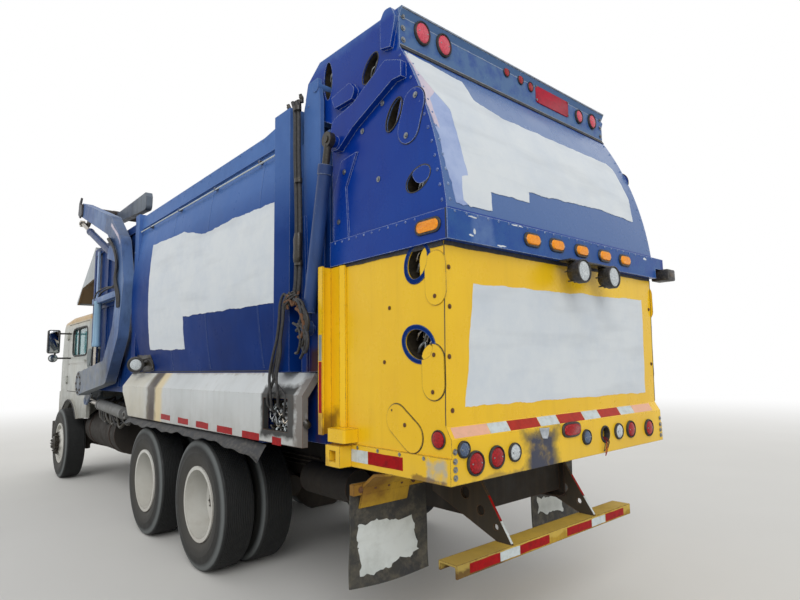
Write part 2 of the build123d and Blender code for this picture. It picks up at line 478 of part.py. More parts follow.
# Roof ribs and floor cross members
for y in range(BODY_Y[0] + 590, BODY_Y[1] - 200, 590):
    body += box((-880, 880), (y - 30, y + 30), (TOP_Z - 20, TOP_Z + 18))
    body += box((20 - BODY_X, BODY_X - 20), (y - 35, y + 35), (FLOOR_Z[0] - 70, FLOOR_Z[0])) - box(
        (-RAIL_X - 5, RAIL_X + 5), (y - 40, y + 40), (FLOOR_Z[0] - 80, FLOOR_Z[0]))
# Side posts: front corner and post A, with the top rail between them
body += both(box((BODY_X - 30, BULGE_X - 15), (BODY_Y[0], BODY_Y[0] + 130), (SKIRT_Z[2] + 5, POST_TOP)))
body += both(box((BODY_X - 30, BULGE_X + 20), POST_A_Y, (SKIRT_Z[2] + 5, POST_TOP)))
body += both(box((BODY_X - 60, BODY_X + 22), (BODY_Y[0], POST_A_Y[0]), (EAVES_Z, EAVES_Z + 135)))
body += both(plate([(POST_A_Y[0] - 330, EAVES_Z + 130), (POST_A_Y[0], EAVES_Z + 130),
                    (POST_A_Y[0], POST_TOP)], (BODY_X - 30, BODY_X + 22)))
# Post B carries the tailgate's hinge pin and the base of its cylinder
p0, p1 = POST_B_Y
post_b = plate([(p0, SKIRT_Z[2] + 5), (p1, SKIRT_Z[2] + 5), (p1 + 15, 2000), (p1 + 15, HINGE_Z - 110),
                (p1 - 15, HINGE_Z + 60),
                (p0 + 50, HINGE_Z + 60), (p0 - 10, HINGE_Z - 110)], (BODY_X + 22, BODY_X + 52))
post_b += box((BODY_X - 60, BODY_X + 22), (p0, p1 - 10), (SKIRT_Z[2] + 5, EAVES_Z - 105))
post_b += plate([(p0, SKIRT_Z[2] + 5), (p0 + 60, SKIRT_Z[2] + 5), (p0 + 60, 1750), (p0 + 25, 2600),
                 (p0, 2600)], (BODY_X + 52, BODY_X + 70))
body += both(post_b)
body += both(drum(GATE_BASE, PIN_R, (BODY_X + 52, GATE_CYL_X + 25)))
body += both(drum((HINGE_Y, HINGE_Z), HINGE_PIN_R, (GATE_X - 56, BODY_X + 60)))
nodes["body_shell"] = body

# Hopper: side walls with ribs and a top rail, stepped front wall and floor, open on top
x, (y0, y1), (z0, z1) = HOPPER_X, HOPPER_Y, HOPPER_Z
hopper = both(plate([(STEP_Y, z0), (y1, z0), (y1, z1), (y0, z1), (y0, STEP_Z), (STEP_Y, STEP_Z)],
                    (x - WALL, x)))
hopper += box((-x, x), (STEP_Y, STEP_Y + WALL), (z0, STEP_Z)) + box((-x, x), (y0, STEP_Y + WALL),
                                                            (STEP_Z, STEP_Z + WALL))
hopper += box((-x, x), (y0, y0 + WALL), (STEP_Z, z1)) + box((-x, x), (STEP_Y, y1), (z0, z0 + WALL))
hopper += both(box((RAIL_X - SILL_W, RAIL_X), (SILL_Y[0], y1 - 30), (FLOOR_Z[0], z0)))
rib = 22
for y in (y0 + 35, y0 + 700, y0 + 1380):
    hopper += both(box((x, x + rib), (y - 35, y + 35), (STEP_Z if y < STEP_Y else z0 + 60, z1)))
hopper += both(box((x, x + rib), (y0, y1), (z1 - 90, z1)) + box((x, x + rib), (y0 + 440, y1 - 520),
                                                            (2450, 2560)))
nodes["hopper"] = hopper

# Cab shield: sloped sheet between two side plates, raised over the cab
ty, tz = SHIELD_TIP
apex = (y0 - 90, SHIELD_TOP)
wing = plate([(y0, z1), apex, (ty, tz + 40), (ty, tz), (ty + 40, tz), (-3240, 2880), (y0, 2950)], (x - 30, x))
sheet = plate([(y0, z1), apex, (ty, tz + 40), (ty, tz), (ty + 25, tz), (ty + 25, tz + 25),
               (y0 - 85, SHIELD_TOP - 30), (y0, z1 - 30)], (-x, x))
nodes["cab_shield"] = both(wing) + sheet

# Packer panel rides on the hopper floor
w, (y0, y1), (z0, z1) = PANEL_X, PANEL_Y, PANEL_Z
panel = plate([(y0, z0), (y1, z0), (y1, z0 + 64), (y0 + 200, z0 + 110), (y0 + 80, z0 + 300), (y0 + 80, z1),
               (y0, z1)], (-w, w))
for x in (-700, 0, 700):
    panel += plate([(y0 + 60, z0 + 60), (y1 - 60, z0 + 60), (y0 + 60, z1 - 60)], (x - 15, x + 15))
panel += both(box((560, 640), PANEL_Y, (HOPPER_Z[0] + WALL + SHOE_GAP, z0)))
nodes["packer_panel"] = panel

# Side skirts: sloped top over a flat face, with the valve hole near the rear
x, (low, crease, top) = SKIRT_X, SKIRT_Z
SKIRT = [(BODY_X, top), (BODY_X + 15, top), (x, crease), (x, low), (x - WALL, low), (x - WALL, crease - 15),
         (BODY_X, top - 55)]
skirt = cross(SKIRT, SKIRT_Y)
skirt -= plate([(SKIRT_Y[0] - 1, low - 1), (SKIRT_Y[0] + 230, low - 1), (SKIRT_Y[0] + 130, low + 120),
                (SKIRT_Y[0] - 1, crease - 60)], (BODY_X - 1, x + 1))
skirt -= box((x - WALL - 5, x + 5), SKIRT_HOLE_Y, SKIRT_HOLE_Z)
nodes["side_skirts"] = both(skirt)
FENDER = [(x - WALL, low), (x, low), (x + 40, low - 45), (x + 40, low - 60), (x - WALL, low - 20)]
fender = cross(FENDER, (SKIRT_Y[0] + 230, SKIRT_Y[1] - 470))

# Rear underride guard: drilled hanger plates and the step bar
front_y = HANGER_HOLES[0][0] - 280
hang = plate([(front_y, RAIL_Z[1] - 20), (front_y + 390, RAIL_Z[1] - 20), (STEP_BAR_Y[1] - 5, STEP_BAR_Z[1]),
              (STEP_BAR_Y[0] + 20, STEP_BAR_Z[1]),
              (front_y, RAIL_Z[0] + 110)], (HANGER_X, HANGER_X + HANGER_T))
for y, z, r in HANGER_HOLES:
    hang -= drum((y, z), r, (HANGER_X - 10, HANGER_X + HANGER_T + 10))
nodes["guard_hangers"] = both(hang)
s0, s1 = STEP_BAR_Y
step = plate([(s0, STEP_BAR_Z[1]), (s1, STEP_BAR_Z[1]), (s1, STEP_BAR_Z[0]), (s1 - 12, STEP_BAR_Z[0]),
              (s1 - 12, STEP_BAR_Z[1] - 12),
              (s0 + 12, STEP_BAR_Z[1] - 12), (s0 + 12, STEP_BAR_Z[0] + 20), (s0, STEP_BAR_Z[0] + 20)],
              (-STEP_X, STEP_X))
flap = box(FLAP_X, (FLAP_Y, FLAP_Y + FLAP_T), FLAP_Z)
nodes["rubber_fenders_and_flaps"] = both(fender) + both(flap)
back = FLAP_Y + FLAP_T
hold = box((HANGER_X + HANGER_T, FLAP_X[1]), (back, back + 38), (FLAP_Z[1] - 60, FLAP_Z[1]))
quarter = plate([(back, 820), (back + 12, 820), (back + 50, 940), (back + 150, 1010), (back + 300, 1035),
                 (back + 300, 1050), (back + 140, 1026),
                 (back + 38, 955)], (FLAP_X[0] + 180, FLAP_X[1] - 60))
nodes["step_bar_and_flap_brackets"] = step + both(hold) + both(quarter)

# Hoses are clipped down the back of post A and dip into the skirt's valve hole
hose_x, hose_y = BULGE_X + 18, POST_A_Y[1] + 65
run = FilletPolyline((hose_x, hose_y, 3380), (hose_x, hose_y, 2060), (x + 27, hose_y - 100, 1700),
                     (x + 27, hose_y - 200, 1450),
                     (x - 10, hose_y - 210, 1290), radius=60)
hoses = sweep(Plane(origin=run @ 0, z_dir=run % 0) * Circle(17), run)
for z in (2250, 2800, 3300):
    hoses += box((BULGE_X + 5, BULGE_X + 18), (POST_A_Y[1], hose_y), (z, z + 40))
nodes["hydraulic_hoses"] = both(hoses)


# Tailgate: bulged back pushed through, hollowed by its wall, open towards the body
def gate_shell(points, arc, front):
    face = make_face(Polyline(*points) + arc)
    shell = extrude(Plane.YZ.offset(-GATE_X) * face, 2 * GATE_X)
    inner = offset(face, -WALL)
    shell -= extrude(Plane.YZ.offset(WALL - GATE_X) * inner, 2 * (GATE_X - WALL))
    return shell - front


def side_cut(holes):
    cuts = None
    for y, z, long_r, short_r, tilt in holes:
        cut = oval(y, z, long_r, short_r, tilt, (GATE_X - WALL - 20, GATE_X + 60))
        cuts = cut if cuts is None else cuts + cut
    return both(cuts)


bottom = BAND_Z[0]
back_y = BAND_Y - BAND_T + 4
UPPER = [(back_y, BAND_Z[1] - 20), (back_y, bottom), (GATE_Y, bottom), (GATE_Y, 3160), (3380, 3250),
         (HINGE_Y - 175, 3330), (HINGE_Y - 205, HINGE_Z),
         (HINGE_Y - 175, 3545), (3400, GATE_TOP + 20), (HEADER_Y, GATE_TOP), (HEADER_Y, HEADER_Z[0])]
back_arc = ThreePointArc((HEADER_Y, HEADER_Z[0]), BACK_MID, (back_y, BAND_Z[1] - 20))
inside_w = GATE_X - WALL
mouth = box((-inside_w, inside_w), (HINGE_Y - 300, GATE_Y + WALL + 5), (bottom - 1, HINGE_Z + 60))
mouth += box((-inside_w, inside_w), (GATE_Y - 1, back_y - WALL), (bottom - 1, bottom + WALL + 5))
upper = gate_shell(UPPER, back_arc, mouth)
upper -= side_cut(SIDE_HOLES[:4])
upper -= drum((HINGE_Y, HINGE_Z), HINGE_PIN_R + 1, (-GATE_X - 40, GATE_X + 40))
# Lamp band round the sides and the back, header box over it
band = box((-GATE_X - BAND_T, GATE_X + BAND_T), (GATE_Y, BAND_Y), BAND_Z) - box((-GATE_X + 1, GATE_X - 1),
                                                            (GATE_Y - 1, back_y - 1), (BAND_Z[0] - 1,
                                                            BAND_Z[1] + 1))
upper += band
upper += box((-GATE_X, GATE_X), (HEADER_Y - 20, HEADER_Y), HEADER_Z) + box((-GATE_X, GATE_X),
                                                            (HEADER_Y - 20, HEADER_Y + 26),
                                                            (GATE_TOP - 4, GATE_TOP))
# Side arm box from header to cylinder eye, ear plate, lobe plate, pressed rib, swinging cover
eye_y, eye_z = GATE_EYE
share = (HEADER_Y - eye_y) / 562
ARM_BOX = [(eye_y + 613 * share, 3270), (eye_y + 613 * share, 3180), (eye_y + 538 * share, 3186),
           (eye_y + 175 * share, 3040), (eye_y + 20, eye_z - 55), (eye_y - 50, eye_z - 45),
           (eye_y - 60, eye_z + 60), (eye_y - 40, 3150), (eye_y + 176 * share, 3186), (eye_y + 480 * share, 3328)]
raised = GATE_CYL_X - 54
features = plate(ARM_BOX, (GATE_X, raised), ((9, 30), (7, 40)))
features += drum(GATE_EYE, PIN_R + 14, (raised, GATE_CYL_X - 25))
EAR = [(3584, 3307), (3778, 3336), (3828, 3278), (3797, 3226), (3617, 3229)]
features += plate(EAR, (GATE_X, GATE_X + 34), ((1, 30), (2, 30)))
h = HEADER_Y
LOBE = [(h - 136, 3420), (h - 136, 3590), (h - 98, 3640), (h - 38, 3632), (h - 2, 3560), (h - 52, 3400)]
features += plate(LOBE, (GATE_X, GATE_X + 26), ((2, 40), (3, 30)))
RIDGE = [(3575, 2386), (3726, 2386), (3700, 2700), (3813, 2893), (3660, 2880), (3575, 2700)]
features += plate(RIDGE, (GATE_X, GATE_X + 12))
cy, cz, long_r, short_r, tilt = SIDE_COVERS[0]
features += oval(cy, cz, long_r, short_r, tilt, (GATE_X, GATE_X + COVER_T), True) - oval(
    *SIDE_HOLES[2], (GATE_X - 10, GATE_X + 20))
upper += both(features)
# Blue wing bracket on the right end of the band
wing = plan([(-GATE_X - BAND_T, BAND_Y - 42), (-GATE_X - 130, BAND_Y - 60), (-GATE_X - 170, BAND_Y - 20),
             (-GATE_X - 150, BAND_Y), (-GATE_X, BAND_Y)],
            (BAND_Z[1] - 80, BAND_Z[1]))
upper += wing
nodes["tailgate_upper"] = upper

# Lower shell: flat back over the lamp face, tape slope between them
front_x = GATE_Y
LOWER = [(front_x, LIP_Z + 6), (FACE_Y - 30, LIP_Z), (FACE_Y, LIP_Z), (FACE_Y, CREASE_Z),
         (FACE_Y - 35, CREASE_Z + 60), (FACE_Y - 15, BAND_Z[0]), (front_x, BAND_Z[0])]
lower = plate(LOWER, (-GATE_X, GATE_X))
inner = offset(make_face(Polyline(*LOWER, close=True)), -WALL)
lower -= extrude(Plane.YZ.offset(-inside_w) * inner, 2 * inside_w)
lower -= box((-inside_w, inside_w), (front_x - 1, front_x + WALL + 1), (LIP_Z + WALL + 6, BAND_Z[0] + 1))
lower -= box((-inside_w, inside_w), (front_x - 1, FACE_Y - 15 - WALL), (BAND_Z[0] - WALL - 1, BAND_Z[0] + 1))
lower -= side_cut(SIDE_HOLES[4:])
# Front posts are channels with an outer lip; box foot, bottom strip and covers on the sides
out, lip_y = GATE_X + 99, POST_B_Y[1] + 70
post = plan([(GATE_X, lip_y), (out, lip_y), (out, lip_y + 45), (out - 14, lip_y + 45), (out - 14, lip_y + 14),
             (GATE_X + 14, lip_y + 14), (GATE_X + 14, 3630), (GATE_X + 26, 3650),
             (GATE_X + 14, 3690), (GATE_X, 3690)], (LIP_Z + 170, BAND_Z[0] - 6))
post += plan([(GATE_X, 3620), (out, 3620), (out, 3790), (GATE_X, 3790)], (LIP_Z + 138, LIP_Z + 215),
             ((1, 15), (2, 15)))
foot = 3600, 3740
post += box((GATE_X, out - 5), foot, (LIP_Z, LIP_Z + 120)) - box((GATE_X + 10, out + 10),
                                                            (foot[0] + 40, foot[1] - 40), (LIP_Z + 30, LIP_Z + 90))
post += box((GATE_X, GATE_X + 12), (foot[1], FACE_Y), (LIP_Z, LIP_Z + 124))
for cy, cz, long_r, short_r, tilt in SIDE_COVERS[1:]:
    post += oval(cy, cz, long_r, short_r, tilt, (GATE_X, GATE_X + COVER_T), True)
for hole in SIDE_HOLES[4:]:
    post -= oval(*hole, (GATE_X - 10, GATE_X + 20))
lower += both(post)
# Empty lamp hole in the face
hole_x, hole_z, hole_r = EMPTY_HOLE
lower -= rod((hole_x, FACE_Y - WALL - 20, hole_z), (hole_x, FACE_Y + 5, hole_z), hole_r)
nodes["tailgate_lower"] = lower


def lenses(table, y):
    made = None
    for x, z, r in table:
        lens = rod((x, y, z), (x, y + LENS_T, z), r)
        made = lens if made is None else made + lens
    return made


nodes["tailgate_lamps"] = lenses(FACE_LAMPS, FACE_Y) + lenses(WHITE_LAMPS, FACE_Y) + lenses(HEADER_LAMPS,
                                                            HEADER_Y) + box(
    RED_PLATE_X, (HEADER_Y, HEADER_Y + 8), RED_PLATE_Z)
amber = None
for x in AMBER_X:
    lens = box((x - 58, x + 58), (BAND_Y, BAND_Y + LENS_T), (AMBER_Z - 32, AMBER_Z + 32))
    amber = lens if amber is None else amber + lens
amber += both(box((GATE_X + BAND_T, GATE_X + BAND_T + LENS_T), SIDE_AMBER_Y, (AMBER_Z - 34, AMBER_Z + 34)))
nodes["amber_lamps"] = amber
work = box((-330, 150), (BAND_Y - 10, BAND_Y + 70), (BAND_Z[0] - 12, BAND_Z[0]))
for x, z in WORK_LAMPS:
    work += rod((x, BAND_Y + 15, z), (x, BAND_Y + 70, z), WORK_R - 12) + rod((x, BAND_Y + 70, z),
                                                            (x, BAND_Y + 120, z), WORK_R)
work += box((-GATE_X - 215, -GATE_X - 90), (BAND_Y - 70, BAND_Y + 60), (BAND_Z[1] - 165, BAND_Z[1] - 80))
nodes["work_lamps"] = work


# Lift arms: both C shaped arms on one torque tube
def arm_strip(line, x):
    strip = None
    for (py, pz, pw), (qy, qz, qw) in zip(line, line[1:]):
        a = atan2(qz - pz, qy - py)
        n, m = -sin(a) / 2, cos(a) / 2
        ring = [(py + n * pw, pz + m * pw), (qy + n * qw, qz + m * qw), (qy - n * qw, qz - m * qw),
                (py - n * pw, pz - m * pw)]
        piece = plate(ring, x) + drum((qy, qz), qw / 2, x)
        strip = piece if strip is None else strip + piece
    return strip


arm = arm_strip(ARM_LINE, ARM_X)
# Hub drums, and the crank cheeks that hold the lift cylinders
py, pz = ARM_PIVOT
arm += drum(ARM_PIVOT, ARM_HUB_R, (LIFT_X - 70, ARM_X[1]))
c = LIFT_CRANK
CRANK = [(py - 100, pz + 60), (c[0] - 15, c[1] + 60), (c[0] - 50, c[1] + 20), (c[0] - 50, c[1] - 55),
         (c[0] + 60, c[1] - 60), (py + 120, pz - 150)]
cheek = LIFT_X - 42
for x in ((cheek - 23, cheek), (LIFT_X + 42, LIFT_X + 65)):
    arm += plate(CRANK, x)
arm -= drum(LIFT_CRANK, 120, (cheek, LIFT_X + 42))
arm += drum(LIFT_CRANK, PIN_R + 16, (LIFT_X + 65, LIFT_X + 73))
arm -= drum(FORK_PIVOT, FORK_SHAFT_R + RUN_GAP, (ARM_X[0] - 100, ARM_X[1] + 50))
ly, lz = TILT_BASE
LUG = [(ly - 60, lz - 40), (ly + 40, lz - 70), (ly + 350, lz - 150), (ly + 210, lz + 210), (ly - 20, lz + 70)]
for x in ((ARM_X[0], ARM_X[0] + 22), (ARM_X[1] - 22, ARM_X[1])):
    arm += plate(LUG, x)
arm += drum(TILT_BASE, PIN_R, (ARM_X[0] + 10, ARM_X[1] - 10))
nodes["lift_arms"] = both(arm) + drum(ARM_PIVOT, TORQUE_R, (-1000, 1000))

# Forks: cross shaft, blades, end hooks, tilt cranks
py, pz = FORK_PIVOT
forks = drum(FORK_PIVOT, FORK_SHAFT_R, (-1275, 1275))
BLADE = [(py - 90, pz + 90), (py + 250, pz - 10), (py + 1480, pz - 10), (py + 1510, pz - 70),
         (py + 1500, pz - 245), (py + 250, pz - 160), (py - 90, pz - 100)]
blade = plate(BLADE, BLADE_X, ((2, 25), (4, 60)))
HOOK = [(py - 150, pz - 40), (py - 120, pz + 120), (py - 20, pz + 190), (py + 20, pz + 170),
        (py - 40, pz + 90), (py + 70, pz + 70), (py + 60, pz - 80), (py - 60, pz - 110)]
hook = plate(HOOK, (1255, 1275))
ty, tz = TILT_CRANK
tilt = plate([(py + 60, pz + 20), (py - 60, pz + 70), (ty - 45, tz + 40), (ty - 30, tz - 50),
              (ty + 60, tz - 40), (py + 60, pz - 70)], (1100, 1125))
tilt += drum(TILT_CRANK, PIN_R + 16, (1092, 1100))
nodes["forks"] = forks + both(blade) + both(hook) + both(tilt)


# Cylinders: barrel with base eye and gland collar, rod with its own eye
def cylinder(base, tip, x, bore, split, rod_r, eye_w, retraction, pin):
    a, b = Vector(x, *base), Vector(x, *tip)
    run = (b - a).normalized()
    end = a + run * split
    half = eye_w / 2
    barrel = drum(base, PIN_R + 28, (x - half, x + half)) + rod(tuple(a + run * 30), tuple(a + run * 110),
                                                            half)
    barrel += rod(tuple(a + run * 100), tuple(end), bore) + rod(tuple(end - run * 60), tuple(end), bore + 5)
    barrel -= rod(tuple(a + run * 120), tuple(end + run), rod_r + RUN_GAP)
    barrel -= drum(base, PIN_R + RUN_GAP, (x - 200, x + 200))
    piston = drum(tip, PIN_R + 26, (x - half, x + half)) + rod(tuple(a + run * (125 + retraction)),
                                                            tuple(b - run * 35), rod_r)
    piston += drum(tip, PIN_R, (x + pin[0], x + pin[1]))
    return barrel, piston


for label, *sizes in CYLINDERS:
    barrel, piston = cylinder(*sizes)
    for name in SIDES:
        nodes[f"{label}_barrel_{name}"] = side(barrel, name)
        nodes[f"{label}_rod_{name}"] = side(piston, name)

for name, shape in nodes.items():
    export_step(shape, f"parts/{name}.step")
print(len(nodes), "nodes")
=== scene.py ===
from math import atan2, cos, hypot, pi, radians, sin, sqrt
import bmesh
import bpy
from mathutils import Matrix, Vector, noise


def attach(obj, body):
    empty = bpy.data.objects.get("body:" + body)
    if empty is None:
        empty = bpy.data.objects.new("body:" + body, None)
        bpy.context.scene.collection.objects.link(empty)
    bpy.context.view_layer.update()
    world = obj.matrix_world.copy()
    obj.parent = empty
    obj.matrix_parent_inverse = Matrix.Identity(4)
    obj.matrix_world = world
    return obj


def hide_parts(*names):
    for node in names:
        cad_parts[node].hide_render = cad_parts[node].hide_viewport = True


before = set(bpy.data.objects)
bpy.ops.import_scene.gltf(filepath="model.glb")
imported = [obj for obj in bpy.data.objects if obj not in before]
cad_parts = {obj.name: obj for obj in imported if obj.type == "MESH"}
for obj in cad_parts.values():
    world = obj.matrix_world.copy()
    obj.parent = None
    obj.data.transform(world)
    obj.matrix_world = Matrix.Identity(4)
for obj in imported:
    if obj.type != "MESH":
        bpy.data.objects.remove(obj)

# Without a fixed seed, noise_vector takes its offsets from the clock and edges change each run
noise.seed_set(5)

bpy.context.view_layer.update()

# Sizes shared with the solids, in metres
GATE_X, HEADER_Y, BAND_Y, FACE_Y, CREASE_Z = 1.096, 4.202, 4.55, 4.52, 1.265
SKIRT_X = 1.205
AXLE_Z, FRONT_Y, REAR_Y, TANDEM = 0.522, -3.756, 1.71, 1.37
FRONT_X, DUAL_X, DUAL_PITCH, STUD_R, DISC_OUT = 1.065, 1.055, 0.34, 0.143, 0.15
# The back of the upper tailgate and the body walls are arcs: centre and radius
BACK_ARC = (2.1153, 2.1491, 2.4283)
WALL_ARC = (-3.219, 2.4075, 4.384)
SIDES = (("left", 1), ("right", -1))


def back_y(z):
    return BACK_ARC[0] + sqrt(BACK_ARC[2] ** 2 - (z - BACK_ARC[1]) ** 2)


def wall_x(z):
    return WALL_ARC[0] + sqrt(WALL_ARC[2] ** 2 - (z - WALL_ARC[1]) ** 2)


def panel_y(z):
    return 4.485 + (z - 1.325) * 0.0221


# Camera: behind the truck's left rear corner, at eye height, 25 mm wide angle
EYE = Vector((3.051, 6.393, 1.622))
YAW, PITCH, ROLL = radians(41.328), radians(6.635), radians(1.001)
FOCAL_PX, IMAGE_W = 560.466, 800
look = Vector((-sin(YAW) * cos(PITCH), -cos(YAW) * cos(PITCH), sin(PITCH)))
right = look.cross(Vector((0, 0, 1))).normalized()
down = look.cross(right)
right, down = right * cos(ROLL) + down * sin(ROLL), down * cos(ROLL) - right * sin(ROLL)
camera = bpy.data.objects.new("camera", bpy.data.cameras.new("camera"))
bpy.context.scene.collection.objects.link(camera)
camera.matrix_world = Matrix((
    (right.x, -down.x, -look.x, EYE.x),
    (right.y, -down.y, -look.y, EYE.y),
    (right.z, -down.z, -look.z, EYE.z),
    (0, 0, 0, 1)))
camera.data.sensor_width = 36
camera.data.lens = FOCAL_PX / IMAGE_W * 36
camera.data.clip_end = 300
bpy.context.scene.camera = camera
bpy.context.scene.view_settings.view_transform = "Standard"


def linear(code):
    """An sRGB hex colour as linear red, green, blue, alpha."""
    parts = [int(code[i:i + 2], 16) / 255 for i in (1, 3, 5)]
    return (*[c / 12.92 if c <= 0.04045 else ((c + 0.055) / 1.055) ** 2.4 for c in parts], 1)


def plug(tree, node, sockets):
    """Links or sets each named socket of a node; a hex string is a colour."""
    for key, value in sockets.items():
        if isinstance(value, bpy.types.NodeSocket):
            tree.links.new(value, node.inputs[key])
        elif isinstance(value, str) and value.startswith("#"):
            node.inputs[key].default_value = linear(value)
        else:
            node.inputs[key].default_value = value


def add(tree, kind, sockets=None, **settings):
    """Adds one node, applies its settings, then sets or links its sockets."""
    made = tree.nodes.new(kind)
    for name, value in settings.items():
        setattr(made, name, value)
    plug(tree, made, sockets or {})
    return made


class Finish:
    """A material in the making: each method adds one node and returns its output."""

    def __init__(self, name):
        self.made = bpy.data.materials.new(name)
        self.made.use_nodes = True
        self.tree = self.made.node_tree
        self.place = self.node("TexCoord")["Object"]

    def node(self, kind, sockets=None, **settings):
        return add(self.tree, "ShaderNode" + kind, sockets, **settings).outputs

    def noise(self, scale, detail, rough=0.5, place=None):
        place = place or self.place
        return self.node("TexNoise", {"Vector": place, "Scale": scale, "Detail": detail,
                                      "Roughness": rough})[0]

    def stretched(self, x, y, z):
        return self.node("Mapping", {"Vector": self.place, "Scale": (x, y, z)})[0]

    def ramp(self, value, low, high, to_low=0.0, to_high=1.0):
        ends = {"From Min": low, "From Max": high, "To Min": to_low, "To Max": to_high}
        return self.node("MapRange", {"Value": value, **ends})[0]

    def mix(self, amount, first, second):
        return self.node("Mix", {0: amount, 6: first, 7: second}, data_type="RGBA")[2]

    def math(self, operation, *values, clamp=False):
        return self.node("Math", dict(enumerate(values)), operation=operation, use_clamp=clamp)[0]

    def vector(self, operation, *values):
        return self.node("VectorMath", dict(enumerate(values)), operation=operation)

    def split(self, vector):
        return self.node("SeparateXYZ", {0: vector})

    def cells(self, scale):
        return self.node("TexVoronoi", {"Vector": self.place, "Scale": scale})["Distance"]

    def bump(self, height, strength, distance, **under):
        return self.node("Bump", {"Height": height, "Strength": strength, "Distance": distance, **under})[0]

    def wear(self, strokes, tint, colour):
        """Mixes a colour in where (value, low, high, most) rises from low to high."""
        value, low, high, most = strokes
        return self.mix(self.ramp(value, low, high, 0.0, most), tint, colour)

    def done(self, **sockets):
        """Sets or links the shader's sockets, their names written with underscores."""
        named = {key.replace("_", " "): value for key, value in sockets.items()}
        plug(self.tree, self.tree.nodes["Principled BSDF"], named)
        return self.made


# A soft-edged box in object coordinates: 1 inside, 0 outside, its edges roughened by noise
def inside_box(paint, low, high, soft, ragged):
    rough = paint.noise(9.0, 5.0, 0.65)
    centre = [(a + b) / 2 for a, b in zip(low, high)]
    half = [(b - a) / 2 for a, b in zip(low, high)]
    away = paint.vector("ABSOLUTE", paint.vector("SUBTRACT", paint.place, centre)[0])[0]
    x, y, z = paint.split(paint.vector("SUBTRACT", away, half)[0])
    far = paint.math("MAXIMUM", paint.math("MAXIMUM", x, y), z)
    far = paint.math("MULTIPLY_ADD", rough, ragged * 4, far)
    return paint.ramp(far, ragged * 2 + soft, ragged * 2 - soft)


# Sprayed enamel that has stood outdoors: chalking in broad clouds, rain streaks, road dust
# low down, paint knocked off the edges, and a faint orange peel in the gloss. Each box, a stain
# or a patch of painted light or shade, is (low corner, high corner, colour, strength, softness, raggedness)
def weathered(name, fresh, faded, grime="#6E675C", dust="#9A9284", chip="#C9CCCB", streak=0.35,
              dust_z=(0.5, 1.5),
              dust_most=0.5, wear=0.5, rough=(0.28, 0.5), wave=0.004, spots=0.0, stains_and_painted_light=(), extra=None,
              coat=0.15,
              gloss=0.3):
    paint = Finish(name)
    tint = paint.mix(paint.ramp(paint.noise(0.9, 4.0, 0.6), 0.36, 0.64), fresh, faded)
    rain = paint.noise(1.2, 5.0, 0.65, paint.stretched(14.0, 14.0, 0.8))
    tint = paint.wear((rain, 0.5, 0.82, streak), tint, grime)
    low = paint.ramp(paint.split(paint.place)[2], dust_z[1], dust_z[0], 0.0, dust_most)
    patchy = paint.noise(6.0, 6.0, 0.7)
    settled = paint.math("MULTIPLY", paint.math("MULTIPLY", low, patchy), 1.7, clamp=True)
    tint = paint.mix(settled, tint, dust)
    for low, high, colour, strength, soft, ragged in stains_and_painted_light:
        mask = paint.math("MULTIPLY", inside_box(paint, low, high, soft, ragged), strength)
        tint = paint.mix(mask, tint, colour)
    if extra:
        tint = extra(paint, tint)
    # Edges are found by comparing the true normal with one rounded over 7 mm
    rounded = paint.node("Bevel", {"Radius": 0.007}, samples=4)[0]
    agree = paint.vector("DOT_PRODUCT", rounded, paint.node("NewGeometry")["Normal"])["Value"]
    limit = paint.ramp(paint.noise(38.0, 5.0, 0.7), 0.38, 0.66, 0.8, 0.999)
    bare = paint.math("MULTIPLY", paint.math("LESS_THAN", agree, limit), wear)
    if spots:
        fleck = paint.ramp(paint.noise(21.0, 7.0, 0.75), 0.7, 0.73, 0.0, spots)
        bare = paint.math("MAXIMUM", bare, fleck)
    tint = paint.mix(bare, tint, chip)
    dull = paint.math("MULTIPLY_ADD", settled, 0.4, paint.ramp(patchy, 0.3, 0.7, *rough), clamp=True)
    # Orange peel is about 3 mm across; sheet metal also waves over half a metre
    sheet = paint.bump(paint.noise(2.1, 2.0), 1.0, wave)
    peel = paint.bump(paint.noise(320.0, 2.0), 0.06, 0.0006, Normal=sheet)
    return paint.done(Base_Color=tint, Roughness=dull, Normal=peel, Specular_IOR_Level=gloss,
                      Coat_Weight=coat,
                      Coat_Roughness=0.2)


def soot_and_painted_shade_below(paint, tint):
    """Faces that look down go brown and dark: soot and oil, and painted shade."""
    down = paint.split(paint.node("NewGeometry")["True Normal"])[2]
    cling = paint.ramp(paint.noise(3.5, 6.0, 0.7), 0.3, 0.5, 0.55, 1.0)
    mask = paint.math("MULTIPLY", paint.ramp(down, -0.15, -0.35), cling)
    return paint.mix(mask, tint, "#7A6448")


def greased(paint, tint):
    """Old grease creeps out from each hub over the wheel disc."""
    x, y, z = paint.split(paint.place)
    rough = paint.noise(17.0, 5.0, 0.65)
    up = paint.math("SUBTRACT", z, AXLE_Z)
    for axle, reach in ((FRONT_Y, 0.185), (REAR_Y - TANDEM, 0.15), (REAR_Y, 0.15)):
        arm = paint.node("CombineXYZ", {0: paint.math("SUBTRACT", y, axle), 1: up})[0]
        far = paint.math("MULTIPLY_ADD", rough, 0.07, paint.vector("LENGTH", arm)["Value"])
        tint = paint.mix(paint.ramp(far, reach + 0.045, reach + 0.015), tint, "#23201B")
    return tint


# Cab: cream-white sprayed enamel, tea-coloured where water stands along the roof edge
CAB_ENAMEL = weathered(
    "cab_cream_enamel", "#B4B6AF", "#9FA39F", "#8E7A50", "#6F675A", "#6A4426", 0.3, (0.7, 1.5), 0.75, 0.55,
    coat=0.1,
    stains_and_painted_light=(((-1.2, -4.7, 2.375), (-0.93, -2.5, 2.47), "#AE8336", 0.85, 0.012, 0.008),
            ((0.93, -4.7, 2.375), (1.2, -2.5, 2.47), "#AE8336", 0.85, 0.012, 0.008),
            ((-1.2, -4.7, 2.34), (1.2, -2.5, 2.46), "#B9A06B", 0.35, 0.04, 0.03)))
